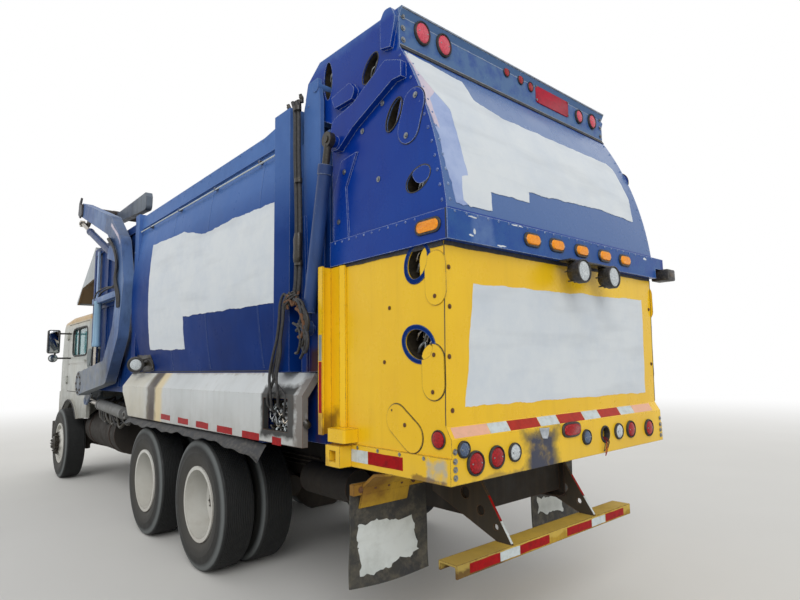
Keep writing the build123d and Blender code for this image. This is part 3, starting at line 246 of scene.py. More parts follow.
# Shield: the same white, its underside brown with soot and old hydraulic oil and darkened as painted shade
SHIELD_ENAMEL = weathered(
    "shield_white_enamel", "#A9B0B4", "#979FA3", "#7B6248", chip="#6B4326", streak=0.4, dust_most=0.0,
    wear=0.6,
    coat=0.05, extra=soot_and_painted_shade_below)
# Skirts: white enamel; a rusty run with cream edges at the front, painted shade black round the valve opening
# as in a deep recess
SKIRT_ENAMEL = weathered(
    "skirt_white_enamel", "#C6CACB", "#B4B9BA", "#857C6C", "#857A67", "#5E3B25", 0.22, (1.05, 1.4), 0.45,
    0.8,
    spots=0.5, coat=0.05,
    stains_and_painted_light=(((-1.3, 0.62, 1.1), (1.3, 0.84, 1.62), "#D2BC85", 0.75, 0.04, 0.03),
            ((-1.3, 0.4, 1.1), (1.3, 0.655, 1.62), "#33241A", 0.93, 0.035, 0.03),
            ((-1.3, -0.45, 1.1), (1.3, 0.36, 1.62), "#BFB494", 0.5, 0.15, 0.05),
            # Painted shade: black round the valve opening, as in a deep recess
            ((-1.3, 2.83, 1.17), (1.3, 3.275, 1.5), "#171715", 0.95, 0.015, 0.02),
            ((-1.3, 3.27, 1.1), (1.3, 3.4, 1.56), "#4A3A2C", 0.75, 0.03, 0.05),
            ((-1.3, 0.9, 1.575), (1.3, 2.7, 1.62), "#6F5A44", 0.5, 0.01, 0.03)))
# Body: deep blue enamel, paler towards the top as painted sky reflection
BODY_ENAMEL = weathered(
    "body_blue_enamel", "#042562", "#0A3074", "#0E1A3C", "#39445E", "#93A0B4", 0.2, (1.2, 1.9), 0.02, 0.45,
    (0.25, 0.4), 0.007, 0.06, coat=0.0, gloss=0.03,
    # The first two boxes are painted sky reflection on the upper walls
    stains_and_painted_light=(((-1.3, -0.4, 2.8), (1.3, 3.6, 3.7), "#6288C4", 0.75, 0.28, 0.05),
            ((-1.3, -0.37, 2.2), (1.3, 3.6, 2.9), "#1A4388", 0.45, 0.25, 0.06),
            ((-1.3, -2.6, 1.3), (1.3, -0.37, 3.5), "#1B3768", 0.6, 0.04, 0.03),
            ((1.1, 3.36, 1.1), (1.3, 3.5, 1.74), "#3B221C", 0.9, 0.03, 0.03),
            ((-1.3, 3.36, 1.1), (-1.1, 3.5, 1.74), "#3B221C", 0.9, 0.03, 0.03)))
# Tailgate: the same blue over smooth sheet, paler on its top edge and upper back as painted sky reflection
GATE_ENAMEL = weathered(
    "tailgate_blue_enamel", "#052F88", "#0B3D94", "#101F4E", "#33446E", "#AEBBD0", 0.15, (2.2, 2.8), 0.12,
    0.75,
    (0.18, 0.32), 0.006, 0.2, coat=0.03, gloss=0.14,
    # Painted sky reflection: the box on the top edge and the two boxes on the upper back
    stains_and_painted_light=(((-1.2, 3.3, 3.6), (1.2, 4.25, 3.75), "#3E64A4", 0.7, 0.03, 0.03),
            ((-1.2, 4.19, 3.375), (1.2, 4.3, 3.7), "#547399", 0.85, 0.015, 0.02),
            ((-1.0935, 3.95, 2.4), (1.0935, 4.6, 3.36), "#55719F", 0.85, 0.0015, 0.0003),
            ((-1.0, 4.3, 2.95), (1.0, 4.6, 3.36), "#7289AF", 0.8, 0.09, 0.02),
            ((-1.2, 4.545, 2.2), (1.2, 4.6, 2.4), "#2F5A93", 0.8, 0.01, 0.01),
            ((0.78, 4.545, 2.2), (0.92, 4.6, 2.4), "#7C93BB", 0.45, 0.03, 0.02)))
# Lower tailgate: thick chrome-yellow enamel over many coats, scraped to the dark primer at the lip
YELLOW_ENAMEL = weathered(
    "tailgate_yellow_enamel", "#EBC01C", "#E2B415", "#A2761E", "#B29A5C", "#33302B", 0.18, (1.0, 1.25), 0.25,
    0.85,
    (0.22, 0.38), 0.005, 0.5, coat=0.1,
    stains_and_painted_light=(((0.215, 4.49, 1.02), (0.535, 4.56, 1.255), "#74672F", 0.75, 0.03, 0.05),
            ((0.265, 4.49, 1.03), (0.495, 4.56, 1.225), "#1C2C4C", 0.92, 0.025, 0.03),
            ((-0.3, 4.45, 2.17), (0.05, 4.6, 2.3), "#8A5A1E", 0.5, 0.06, 0.05),
            ((1.1, 4.36, 1.06), (1.14, 4.5, 1.15), "#9FA6A6", 0.75, 0.012, 0.03),
            ((1.1, 4.24, 1.05), (1.14, 4.56, 1.075), "#5B3A22", 0.7, 0.006, 0.02),
            ((-1.14, 4.26, 1.045), (-1.1, 4.6, 1.165), "#9FA39B", 0.8, 0.015, 0.05),
            ((1.0, 3.5, 1.05), (1.3, 3.6, 1.35), "#6A3F22", 0.7, 0.03, 0.05),
            ((0.55, 4.49, 1.02), (1.1, 4.56, 1.07), "#7E6A3A", 0.6, 0.01, 0.03)))
# Step bar and flap brackets: the same yellow trodden through to brown rust
STEP_ENAMEL = weathered(
    "step_yellow_rusted", "#D9B128", "#BC9524", "#5E4322", "#6A5530", "#50341E", 0.6, (0.3, 1.3), 0.8, 1.0,
    (0.5, 0.8), spots=1.0, coat=0.0,
    stains_and_painted_light=(((0.5, 4.1, 0.5), (0.95, 4.5, 0.66), "#5B4425", 0.9, 0.05, 0.05),
            ((-1.0, 4.2, 0.58), (1.0, 4.36, 0.66), "#CDB55C", 0.5, 0.01, 0.04),
            ((0.9, 3.7, 0.86), (1.2, 4.0, 1.1), "#6B4521", 0.75, 0.05, 0.05)))
# Arms: grey-blue enamel rubbed by chains and greasy hands, the lower limb bare grey, two darker patches of
# painted shade
ARM_ENAMEL = weathered(
    "arm_grey_blue_enamel", "#405C8E", "#637DA6", "#1A2029", "#5E6678", "#8A8F98", 0.5, (1.2, 2.2), 0.25, 1.0,
    (0.35, 0.6), spots=0.7, coat=0.0,
    stains_and_painted_light=(((-1.3, -2.62, 1.2), (1.3, -0.98, 1.74), "#7C8081", 0.9, 0.06, 0.04),
            # Painted shade: this box and the next
            ((-1.3, -1.2, 1.45), (1.3, -0.75, 2.2), "#232A38", 0.55, 0.1, 0.08),
            ((-1.3, -1.3, 3.15), (1.3, -0.6, 3.6), "#3A4048", 0.5, 0.08, 0.08)))
FORK_ENAMEL = weathered(
    "fork_worn_grey_enamel", "#566070", "#6A737C", "#2B2723", "#6E6A62", "#4A3B30", 0.5, (1.2, 2.2), 0.2, 1.0,
    (0.4, 0.65), spots=0.9, coat=0.0, stains_and_painted_light=(((-1.3, -3.0, 3.7), (1.3, -2.48, 4.2), "#33291F", 0.9, 0.05,
                                               0.05),))
BARREL_ENAMEL = weathered(
    "cylinder_blue_enamel", "#1A2F5C", "#2A4678", "#151C2C", "#4A5266", "#8D97A8", 0.4, (1.0, 2.0), 0.3, 0.9,
    (0.3, 0.5), spots=0.5, coat=0.0)
LIFT_GREY = weathered(
    "cylinder_grey_enamel", "#7C7F80", "#66696B", "#2E2B27", "#6F685C", "#4D4038", 0.5, (0.9, 1.4), 0.5, 0.8,
    (0.35, 0.6), spots=0.6, coat=0.0)
POST_BLUE = weathered(
    "hopper_post_pale_blue", "#5F7CAB", "#7E98BC", "#232C40", "#6E7480", "#3C3A38", 0.5, (1.2, 2.2), 0.3, 0.9,
    (0.35, 0.55), spots=0.6, coat=0.0)
SKY_ENAMEL = weathered(
    "cylinder_sky_blue_enamel", "#7FA6C4", "#93B3C8", "#3A4048", "#8A8F90", "#4B4742", 0.4, (1.2, 2.2), 0.3,
    0.8,
    (0.35, 0.55), spots=0.6, coat=0.0)
# Chassis: black frame paint gone brown-grey with road film, rust on the edges
FRAME_PAINT = weathered(
    "frame_black_paint", "#171615", "#211E1C", "#3A3128", "#463F36", "#53382A", 0.6, (0.0, 1.1), 0.7, 0.9,
    (0.5, 0.8), spots=0.7, coat=0.0)
HANGER_PAINT = weathered(
    "hanger_black_paint", "#26231F", "#38322A", "#4E3F2E", "#564E41", "#6B4A2E", 0.6, (0.4, 1.1), 0.5, 1.0,
    (0.5, 0.75), spots=0.8, coat=0.0)
# Wheels: white wheel enamel, brake dust and old grease round the hub
WHEEL_ENAMEL = weathered(
    "wheel_white_enamel", "#CDCECA", "#B8B8B1", "#7F7463", "#A1988A", "#5E4C3C", 0.25, (0.0, 1.0), 0.5, 0.6,
    (0.35, 0.6), spots=0.4, coat=0.0, extra=greased)


# A simple finish from two near colours: value noise, a film of dust, flecks and bump
def plain_finish(name, base, second, scale, rough, bump=(60.0, 0.2, 0.001), dust=0.3, film="#8A8174",
                 spot=None,
                 metallic=0.0):
    paint = Finish(name)
    broad = paint.noise(scale, 6.0, 0.65)
    tint = paint.mix(paint.ramp(broad, 0.35, 0.65), base, second)
    tint = paint.wear((paint.noise(scale * 3.1, 5.0, 0.7), 0.45, 0.75, dust), tint, film)
    if spot:
        tint = paint.wear((paint.noise(scale * 5.3, 6.0, 0.7), 0.6, 0.66, 1.0), tint, spot)
    raised = paint.bump(paint.noise(bump[0], 4.0), bump[1], bump[2])
    return paint.done(Base_Color=tint, Roughness=paint.ramp(broad, 0.3, 0.7, *rough), Normal=raised,
                      Metallic=metallic)


# Hard-chromed rods: bright, with fine scoring along the stroke and brown old oil
OLD_CHROME = plain_finish("rod_hard_chrome", "#8F8578", "#BFBBB2", 5, (0.12, 0.32), (220.0, 0.15, 0.0005),
                          0.6,
                          "#5C5042", metallic=1.0)
ZINC_AND_PAINTED_HIGHLIGHT = plain_finish("zinc_plated_steel_and_painted_highlight", "#9DA2A5", "#7D8183", 30, (0.3, 0.55), dust=0.4, film="#6A5E50",
                    spot="#5E4631", metallic=1.0)
WORN_STEEL = plain_finish("worn_bare_steel", "#5A5650", "#3C3833", 12, (0.4, 0.65), dust=0.6, film="#6B5138",
                          spot="#4E3525", metallic=0.6)
RUST = plain_finish("brown_scaled_rust", "#4F3626", "#6B4629", 18, (0.75, 0.95), (90.0, 0.6, 0.002), 0.4,
                    "#7F5F3E",
                    "#2E231C")
GREASE_AND_PAINTED_SHADE = plain_finish("black_grease_and_painted_shade", "#17150F", "#2A251C", 25, (0.25, 0.5), (80.0, 0.5, 0.003), 0.35,
                      "#5B5140")
OILY = plain_finish("oil_soaked_hose", "#0B0A0A", "#161412", 18, (0.35, 0.6), (120.0, 0.4, 0.001), 0.12)
# Moulded rubber: charcoal, grey where it has weathered, dusty in the hollows
RUBBER = plain_finish("moulded_black_rubber", "#1B1C1D", "#2B2C2C", 14, (0.55, 0.8), (150.0, 0.2, 0.0008),
                      0.45,
                      "#5F5B53")
FENDER_RUBBER = plain_finish("fender_strip_rubber", "#222325", "#34363A", 9, (0.5, 0.75),
                             (110.0, 0.25, 0.001), 0.5,
                             "#6D675D")
HOSE_RUBBER = plain_finish("braided_hose_cover", "#1C1C1E", "#2A2A2C", 20, (0.5, 0.75), (260.0, 0.4, 0.0008),
                           0.35,
                           "#68645B")
SEALANT_AND_PAINTED_SHADOW = plain_finish("black_sealant_and_painted_shadow", "#14161C", "#23262D", 22, (0.5, 0.75), (120.0, 0.5, 0.0015),
                            0.2)
# Moulded plastics and the cast engine block, each with the grain its mould leaves
CAB_PLASTIC = plain_finish("moulded_grey_plastic", "#2C2E2F", "#3B3D3E", 10, (0.5, 0.7),
                           (400.0, 0.25, 0.0004))
LAMP_HOUSING = plain_finish("lamp_black_housing", "#131416", "#1F2022", 26, (0.35, 0.6), (300.0, 0.2, 0.0004))
INTAKE_GREY = plain_finish("intake_moulded_grey", "#596467", "#6F7A7C", 9, (0.45, 0.7), (200.0, 0.2, 0.0005),
                           0.45,
                           "#93897A")
CAST_IRON = plain_finish("engine_cast_iron", "#3B3A38", "#4C4640", 10, (0.6, 0.85), (90.0, 0.5, 0.0015), 0.6,
                         "#6B5F4E")
MIRROR_GLASS = plain_finish("silvered_mirror_glass", "#C9CED0", "#B9BFC2", 5, (0.03, 0.1),
                            (40.0, 0.02, 0.0002), 0.2,
                            metallic=1.0)
# Mud flap: thick sheet rubber with dried mud; a cotton rag and a plastic tag hang on the truck
FLAP = plain_finish("flap_sheet_rubber", "#26272A", "#3A3934", 5, (0.6, 0.85), (70.0, 0.3, 0.002), 0.65,
                    "#6F6959")
RAG = plain_finish("pale_cotton_rag", "#B9BFC4", "#8F969D", 30, (0.9, 1.0), (300.0, 0.5, 0.001))
TAG_YELLOW = plain_finish("yellow_plastic_tag", "#D9B42C", "#BF9A20", 20, (0.4, 0.6))


# White paint rolled on thinly: faint cross bands where one pass laps the next
def rolled_white(name, first, second, grime="#9AA0A6"):
    paint = Finish(name)
    tint = paint.mix(paint.ramp(paint.noise(3.0, 6.0, 0.7), 0.4, 0.66), first, second)
    run = paint.noise(1.3, 4.0, place=paint.stretched(1.1, 1.1, 7.0))
    tint = paint.wear((run, 0.5, 0.8, 0.32), tint, grime)
    roller = paint.bump(paint.noise(90.0, 4.0), 0.2, 0.001)
    return paint.done(Base_Color=tint, Normal=roller, Roughness=0.42, Specular_IOR_Level=0.35)


WHITE_OVER = rolled_white("rolled_white_overpaint", "#CFD5D9", "#C4CCD4")
PRIMER_PINK = rolled_white("thin_pink_primer", "#C9BCC6", "#A9A6C0", "#8791B8")
WHITE_GHOST = rolled_white("thin_lilac_overpaint", "#9FAFD2", "#8194C2", "#6B80B2")
FLAP_WHITE = rolled_white("flap_worn_white_paint", "#C9CFCE", "#A9AFAD", "#6A6A62")


# Reflective tape: a coloured film over tiny prisms, drawn coarser than real so that it shows
def tape(name, colour, worn):
    paint = Finish(name)
    tint = paint.wear((paint.noise(26.0, 6.0, 0.7), 0.45, 0.72, 1.0), colour, worn)
    prisms = paint.bump(paint.cells(160.0), 0.25, 0.0008)
    return paint.done(Base_Color=tint, Normal=prisms, Roughness=0.35, Specular_IOR_Level=0.12)


RED_TAPE = tape("tape_red_film", "#9C040C", "#74060A")
WHITE_TAPE = tape("tape_white_film", "#C3CCCE", "#A9B0AE")
FADED_RED_TAPE = tape("tape_faded_red_film", "#A82A1C", "#8C2218")
PINK_TAPE = tape("tape_bleached_pink_film", "#DFAC93", "#CFA488")
GREY_TAPE = tape("tape_grey_film", "#8E9391", "#7A7E7B")
RED_PLATE = tape("plate_red_enamel", "#A92438", "#8C2A38")


# Lenses: tinted acrylic over prism rows 4 mm apart, bright where the reflector behind shows
def lens(name, colour, deep):
    paint = Finish(name)
    # 240 radians of the wave to a metre, brought to the texture's own scale
    rows = paint.node("TexWave", {"Vector": paint.place, "Scale": 240.0 / 6.2832 * 1.4},
                      bands_direction="Z")[0]
    cells = paint.cells(96.0)
    prisms = paint.bump(paint.math("MULTIPLY", rows, cells), 0.5, 0.002)
    return paint.done(Base_Color=paint.mix(cells, deep, colour), Normal=prisms, Roughness=0.12, IOR=1.49,
                      Specular_IOR_Level=0.3)


RED_LENS = lens("lens_red_acrylic", "#B5101A", "#6E060C")
PINK_LENS = lens("lens_bleached_red_acrylic", "#DB5A6C", "#B83A4A")
AMBER_LENS = lens("lens_amber_acrylic", "#FBA51E", "#DE780C")
WHITE_LENS = lens("lens_clear_acrylic", "#D2D8DA", "#98A0A4")
BLUE_LENS = lens("lens_dark_blue_acrylic", "#66788F", "#2C3B5C")


# Cab glass: green-tinted safety glass, duller where a film of dust lies on it
def glass():
    paint = Finish("tinted_safety_glass")
    film = paint.noise(4.0, 6.0, 0.7)
    return paint.done(Base_Color=paint.mix(film, "#6FB3B8", "#8FC3C4"), IOR=1.52, Transmission_Weight=0.85,
                      Roughness=paint.ramp(film, 0.4, 0.7, 0.03, 0.16))


# Tyre rubber: black tread crowns, a pale ring worn on the shoulder, dust on the walls
def tyre_finish():
    paint = Finish("tyre_road_rubber")
    ring = paint.node("Attribute", attribute_name="radius")["Fac"]
    dusty = paint.noise(11.0, 6.0, 0.7)
    # The shoulder ring lies 486 to 503 mm from the axle
    worn = paint.math("MULTIPLY", paint.ramp(ring, 0.455, 0.486), paint.ramp(ring, 0.512, 0.503))
    tint = paint.mix(paint.math("MULTIPLY", worn, 0.55), paint.mix(dusty, "#0B0C0C", "#171919"), "#767B7B")
    tint = paint.mix(paint.math("MULTIPLY", paint.ramp(ring, 0.47, 0.3, 0.0, 0.5), dusty), tint, "#6F6B62")
    return paint.done(Base_Color=tint, Normal=paint.bump(paint.noise(180.0, 5.0), 0.3, 0.0012),
                      Roughness=paint.ramp(dusty, 0.3, 0.7, 0.6, 0.85))


GLASS = glass()
TYRE = tyre_finish()


class Piece:
    """Mesh that is gathered shape by shape, then made one object that rides on a body."""

    def __init__(self, name, body, slot, smooth=38):
        self.name, self.body, self.slot_name, self.smooth = name, body, slot, smooth
        self.bm, self.finishes = bmesh.new(), []

    def mesh(self, verts, faces, finish):
        """Adds faces in one finish, turned outward, and returns them."""
        if finish not in self.finishes:
            self.finishes.append(finish)
        made = [self.bm.verts.new(v) for v in verts]
        new = [self.bm.faces.new([made[i] for i in face]) for face in faces]
        for face in new:
            face.material_index = self.finishes.index(finish)
        bmesh.ops.recalc_face_normals(self.bm, faces=new)
        return new

    def done(self, *replaced):
        data = bpy.data.meshes.new(self.name)
        self.bm.to_mesh(data)
        self.bm.free()
        for finish in self.finishes:
            data.materials.append(finish)
        data.polygons.foreach_set("use_smooth", [True] * len(data.polygons))
        data.set_sharp_from_angle(angle=radians(self.smooth))
        made = bpy.data.objects.new(self.name, data)
        bpy.context.scene.collection.objects.link(made)
        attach(made, self.body)
        if replaced:
            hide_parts(*replaced)
        return made


def across(axis):
    """Two directions square to an axis; the second points as near to up as it can."""
    axis = Vector(axis).normalized()
    up = Vector((0, 0, 1)) if abs(axis.z) < 0.9 else Vector((0, 1, 0))
    u = up.cross(axis).normalized()
    return u, axis.cross(u)


def lathe(piece, finish, centre, axis, outline, segments=32, stretch=(1, 1), closed=False):
    """Turns (radius, height) points about an axis; stretch makes it oval."""
    axis, centre = Vector(axis).normalized(), Vector(centre)
    u, v = across(axis)
    verts, rows = [], []
    for r, h in outline:
        if r < 1e-6:
            rows.append([len(verts)] * segments)
            verts.append(centre + axis * h)
            continue
        rows.append(list(range(len(verts), len(verts) + segments)))
        for k in range(segments):
            a = 2 * pi * k / segments
            verts.append(centre + axis * h + u * (r * cos(a) * stretch[0]) + v * (r * sin(a) * stretch[1]))
    faces = []
    for low, high in list(zip(rows, rows[1:])) + ([(rows[-1], rows[0])] if closed else []):
        for k in range(segments):
            n = (k + 1) % segments
            quad = [low[k], low[n], high[n], high[k]]
            face = [i for j, i in enumerate(quad) if i != quad[j - 1]]
            if len(face) > 2:
                faces.append(face)
    if not closed:
        faces += [row for row in (rows[0], rows[-1]) if row[0] != row[1]]
    piece.mesh(verts, faces, finish)


def relief(piece, finish, outline, origin, axis, low, high, rounding=0.0, hole=None):
    """Raises a flat outline (u, v) along an axis from low to high, its top edge chamfered."""
    axis, origin = Vector(axis).normalized(), Vector(origin)
    u, v = across(axis)
    n = len(outline)
    cx, cy = sum(p[0] for p in outline) / n, sum(p[1] for p in outline) / n
    size = max(hypot(p[0] - cx, p[1] - cy) for p in outline)
    levels = [(low, 0), (high - rounding, 0), (high, rounding)] if rounding else [(low, 0), (high, 0)]

    def ring(points, h, inset):
        k = 1 - inset / size
        return [origin + u * (cx + (p[0] - cx) * k) + v * (cy + (p[1] - cy) * k) + axis * h for p in points]

    verts = [p for h, inset in levels for p in ring(outline, h, inset)]
    steps = [(i, (i + 1) % n) for i in range(n)]
    faces = [[row * n + i, row * n + j, (row + 1) * n + j, (row + 1) * n + i]
             for row in range(len(levels) - 1) for i, j in steps]
    top, start = (len(levels) - 1) * n, len(verts)
    if hole is None:
        faces += [list(range(top, start)), list(range(n))]
    else:
        verts += ring(hole, low, 0) + ring(hole, high, 0)
        for i, j in steps:
            faces.append([start + i, start + j, start + n + j, start + n + i])
            faces.append([i, j, start + j, start + i])
            faces.append([top + i, top + j, start + n + j, start + n + i])
    piece.mesh(verts, faces, finish)


def turned(points, cx, cy, turn):
    """Flat points turned about their origin, then moved to (cx, cy)."""
    return [(cx + x * cos(turn) - y * sin(turn), cy + x * sin(turn) + y * cos(turn)) for x, y in points]


def ellipse(rx, ry, cx=0.0, cy=0.0, turn=0.0, count=32, square=2.0):
    """An ellipse, or a rounder-cornered box where square is above 2."""
    points = []
    for k in range(count):
        a = 2 * pi * k / count
        points.append([abs(c) ** (2 / square) * (1 if c >= 0 else -1) * r for c,
                       r in ((cos(a), rx), (sin(a), ry))])
    return turned(points, cx, cy, turn)


def stadium(half, radius, cx=0.0, cy=0.0, turn=0.0, count=14):
    angles = [-pi / 2 + pi * k / count for k in range(count + 1)]
    points = [(end * (half - radius + radius * cos(a)), end * radius * sin(a)) for end in (1, -1)
              for a in angles]
    return turned(points, cx, cy, turn)


def oblong(u0, u1, v0, v1):
    return [(u0, v0), (u1, v0), (u1, v1), (u0, v1)]


def flip(s, points):
    """Flat points mirrored for the truck's right side, where s is -1."""
    return [(s * p, q) for p, q in points]


def bolt_circle(count, radius, y, z, first=0.0):
    angles = [2 * pi * (k + first) / count for k in range(count)]
    return [(y + radius * cos(a), z + radius * sin(a)) for a in angles]


def block(piece, finish, low, high, bevel=0.004):
    corners = [(x, y, z) for x in (low[0], high[0]) for y in (low[1], high[1]) for z in (low[2], high[2])]
    faces = [(0, 1, 3, 2), (4, 6, 7, 5), (0, 4, 5, 1), (2, 3, 7, 6), (0, 2, 6, 4), (1, 5, 7, 3)]
    new = piece.mesh(corners, faces, finish)
    if bevel:
        edges = list({e for f in new for e in f.edges})
        bmesh.ops.bevel(piece.bm, geom=edges, offset=bevel, segments=2, profile=0.6, affect="EDGES")


def side_block(piece, finish, s, xs, ys, zs, bevel):
    """A block on the left side, or its mirror image where s is -1."""
    near, far = sorted(s * x for x in xs)
    block(piece, finish, (near, ys[0], zs[0]), (far, ys[1], zs[1]), bevel)


def smooth_path(points, each=6):
    """Catmull-Rom points through the given ones."""
    points = [Vector(p) for p in points]
    ends = [points[0] * 2 - points[1]] + points + [points[-1] * 2 - points[-2]]
    out = []
    for a, b, c, d in zip(ends, ends[1:], ends[2:], ends[3:]):
        for k in range(each):
            t = k / each
            out.append(0.5 * ((2 * b) + (c - a) * t + (2 * a - 5 * b + 4 * c - d) * t * t
                              + (3 * b - a - 3 * c + d) * t ** 3))
    return out + [points[-1]]


def tube(piece, finish, points, radius, sides=10, each=6):
    """A round hose, rod or wire along a smooth path, its ends closed."""
    path = smooth_path(points, each) if each > 1 else [Vector(p) for p in points]
    verts, faces, u = [], [], None
    for i, p in enumerate(path):
        run = (path[min(i + 1, len(path) - 1)] - path[max(i - 1, 0)]).normalized()
        u = u or across(run)[0]
        u = (u - run * u.dot(run)).normalized()
        w = run.cross(u)
        for k in range(sides):
            a = 2 * pi * k / sides
            verts.append(p + u * (radius * cos(a)) + w * (radius * sin(a)))
    for i in range(len(path) - 1):
        for k in range(sides):
            n = (k + 1) % sides
            faces.append([i * sides + k, i * sides + n, (i + 1) * sides + n, (i + 1) * sides + k])
    faces += [list(range(sides)), list(range(len(verts) - sides, len(verts)))]
    piece.mesh(verts, faces, finish)


def side_tube(piece, finish, s, points, radius, sides, each):
    """A tube on the left side, or its mirror image where s is -1."""
    tube(piece, finish, [(s * x, y, z) for x, y, z in points], radius, sides, each)


def ragged_line(outline, step, jitter, seed):
    """Divides an outline's edges and pushes the points about by smooth noise."""
    points = []
    for a, b in zip(outline, outline[1:] + outline[:1]):
        count = max(1, int(hypot(b[0] - a[0], b[1] - a[1]) / step))
        for k in range(count):
            t = k / count
            x, y = a[0] + (b[0] - a[0]) * t, a[1] + (b[1] - a[1]) * t
            spot = Vector((x * 9 + seed, y * 9, seed * 3.7))
            coarse, fine = noise.noise_vector(spot), noise.noise_vector(spot * 5)
            points.append((x + jitter * (coarse.x + 0.5 * fine.x), y + jitter * (coarse.y + 0.5 * fine.y)))
    return points


def skin(piece, finish, outline, surface, thick=0.0008, bands=0.12, jitter=0.0, seed=1.0, step=0.02):
    """A thin closed sheet that follows surface(u, v, height), cut to an outline."""
    if jitter:
        outline = ragged_line(list(outline), step, jitter, seed)
    flat = bmesh.new()
    flat.faces.new([flat.verts.new((u, v, 0)) for u, v in outline])
    for i, normal in enumerate((Vector((1, 0, 0)), Vector((0, 1, 0)))):
        level = min(p[i] for p in outline) + bands
        while level < max(p[i] for p in outline) - 0.001:
            bmesh.ops.bisect_plane(flat, geom=flat.verts[:] + flat.edges[:] + flat.faces[:],
                                   plane_co=normal * level, plane_no=normal, dist=1e-5)
            level += bands
    bmesh.ops.triangulate(flat, faces=[f for f in flat.faces if len(f.verts) > 4])
    flat.verts.index_update()
    n = len(flat.verts)
    verts = [surface(v.co.x, v.co.y, h) for h in (-0.0004, thick) for v in flat.verts]
    faces = [[v.index for v in f.verts] for f in flat.faces]
    faces += [[v.index + n for v in reversed(f.verts)] for f in flat.faces]
    for e in flat.edges:
        if len(e.link_faces) == 1:
            a, b = e.verts[0].index, e.verts[1].index
            faces.append([a, b, b + n, a + n])
    flat.free()
    piece.mesh(verts, faces, finish)


# The skins of the truck: where a flat (u, v) point lies, raised by h
def on_back(x, z, h):
    y = back_y(z)
    out = Vector((0, y - BACK_ARC[0], z - BACK_ARC[1])).normalized()
    return Vector((x, y, z)) + out * h


def on_wall(s):
    return lambda y, z, h: Vector((s * (wall_x(z) + h), y, z))


def on_panel(x, z, h):
    return Vector((x, panel_y(z) + h, z))


def on_slope(x, t, h):
    return Vector((x, FACE_Y - 0.035 * t + 0.864 * h, CREASE_Z + 0.06 * t + 0.504 * h))


def on_x(x):
    return lambda y, z, h: Vector((x + (h if x > 0 else -h), y, z))


def on_y(y):
    return lambda x, z, h: Vector((x, y + h, z))


# Screws, bolts and rivets: a tapered head on a washer, set on points that carry aim and size
def fastener_tree():
    tree = bpy.data.node_groups.new("fastener_heads", "GeometryNodeTree")
    face = tree.interface
    face.new_socket("Points", in_out="INPUT", socket_type="NodeSocketGeometry")
    for name in ("Head Radius", "Head Height", "Taper", "Washer Ratio"):
        face.new_socket(name, in_out="INPUT", socket_type="NodeSocketFloat")
    face.new_socket("Sides", in_out="INPUT", socket_type="NodeSocketInt")
    face.new_socket("Finish", in_out="INPUT", socket_type="NodeSocketMaterial")
    face.new_socket("Heads", in_out="OUTPUT", socket_type="NodeSocketGeometry")
    given = add(tree, "NodeGroupInput").outputs

    def times(first, second):
        return add(tree, "ShaderNodeMath", {0: first, 1: second}, operation="MULTIPLY").outputs[0]

    def cone(sides, top, bottom, depth):
        sizes = {"Vertices": sides, "Radius Top": top, "Radius Bottom": bottom, "Depth": depth}
        return add(tree, "GeometryNodeMeshCone", sizes).outputs["Mesh"]

    radius, height = given["Head Radius"], given["Head Height"]
    head = cone(given["Sides"], times(radius, given["Taper"]), radius, height)
    wide = times(radius, given["Washer Ratio"])
    washer = cone(16, wide, wide, times(height, 0.25))
    both = add(tree, "GeometryNodeJoinGeometry", {0: head})
    tree.links.new(washer, both.inputs[0])
    aim, size = [add(tree, "GeometryNodeInputNamedAttribute", {"Name": name},
                     data_type=kind).outputs["Attribute"]
                 for name, kind in (("aim", "FLOAT_VECTOR"), ("size", "FLOAT"))]
    turn = add(tree, "FunctionNodeAlignRotationToVector", {"Vector": aim}, axis="Z").outputs[0]
    placed = {"Points": given["Points"], "Instance": both.outputs[0], "Rotation": turn, "Scale": size}
    set_out = add(tree, "GeometryNodeInstanceOnPoints", placed).outputs[0]
    real = add(tree, "GeometryNodeRealizeInstances", {0: set_out}).outputs[0]
    dressed = add(tree, "GeometryNodeSetMaterial", {"Geometry": real, "Material": given["Finish"]})
    add(tree, "NodeGroupOutput", {0: dressed.outputs[0]})
    return tree


FASTENERS = fastener_tree()


def fasten(name, body, spots, finish, radius, height, taper=0.85, washer=1.5, sides=6):
    """Heads on every spot (place, aim, scale), made one plain mesh for the body."""
    data = bpy.data.meshes.new(name + "_points")
    data.from_pydata([s[0] for s in spots], [], [])
    aims = data.attributes.new("aim", "FLOAT_VECTOR", "POINT")
    aims.data.foreach_set("vector", [c for s in spots for c in Vector(s[1]).normalized()])
    scales = data.attributes.new("size", "FLOAT", "POINT")
    scales.data.foreach_set("value", [s[2] if len(s) > 2 else 1.0 for s in spots])
    holder = bpy.data.objects.new(name, data)
    bpy.context.scene.collection.objects.link(holder)
    run = holder.modifiers.new("heads", "NODES")
    run.node_group = FASTENERS
    wanted = {"Finish": finish, "Head Radius": radius, "Head Height": height, "Taper": taper,
              "Washer Ratio": washer, "Sides": sides}
    for item in FASTENERS.interface.items_tree:
        if item.in_out == "INPUT" and item.name in wanted:
            run[item.identifier] = wanted[item.name]
    plain = bpy.data.meshes.new_from_object(holder.evaluated_get(bpy.context.evaluated_depsgraph_get()))
    holder.modifiers.clear()
    holder.data = plain
    if not plain.materials:
        plain.materials.append(finish)
    plain.name = name
    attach(holder, body)


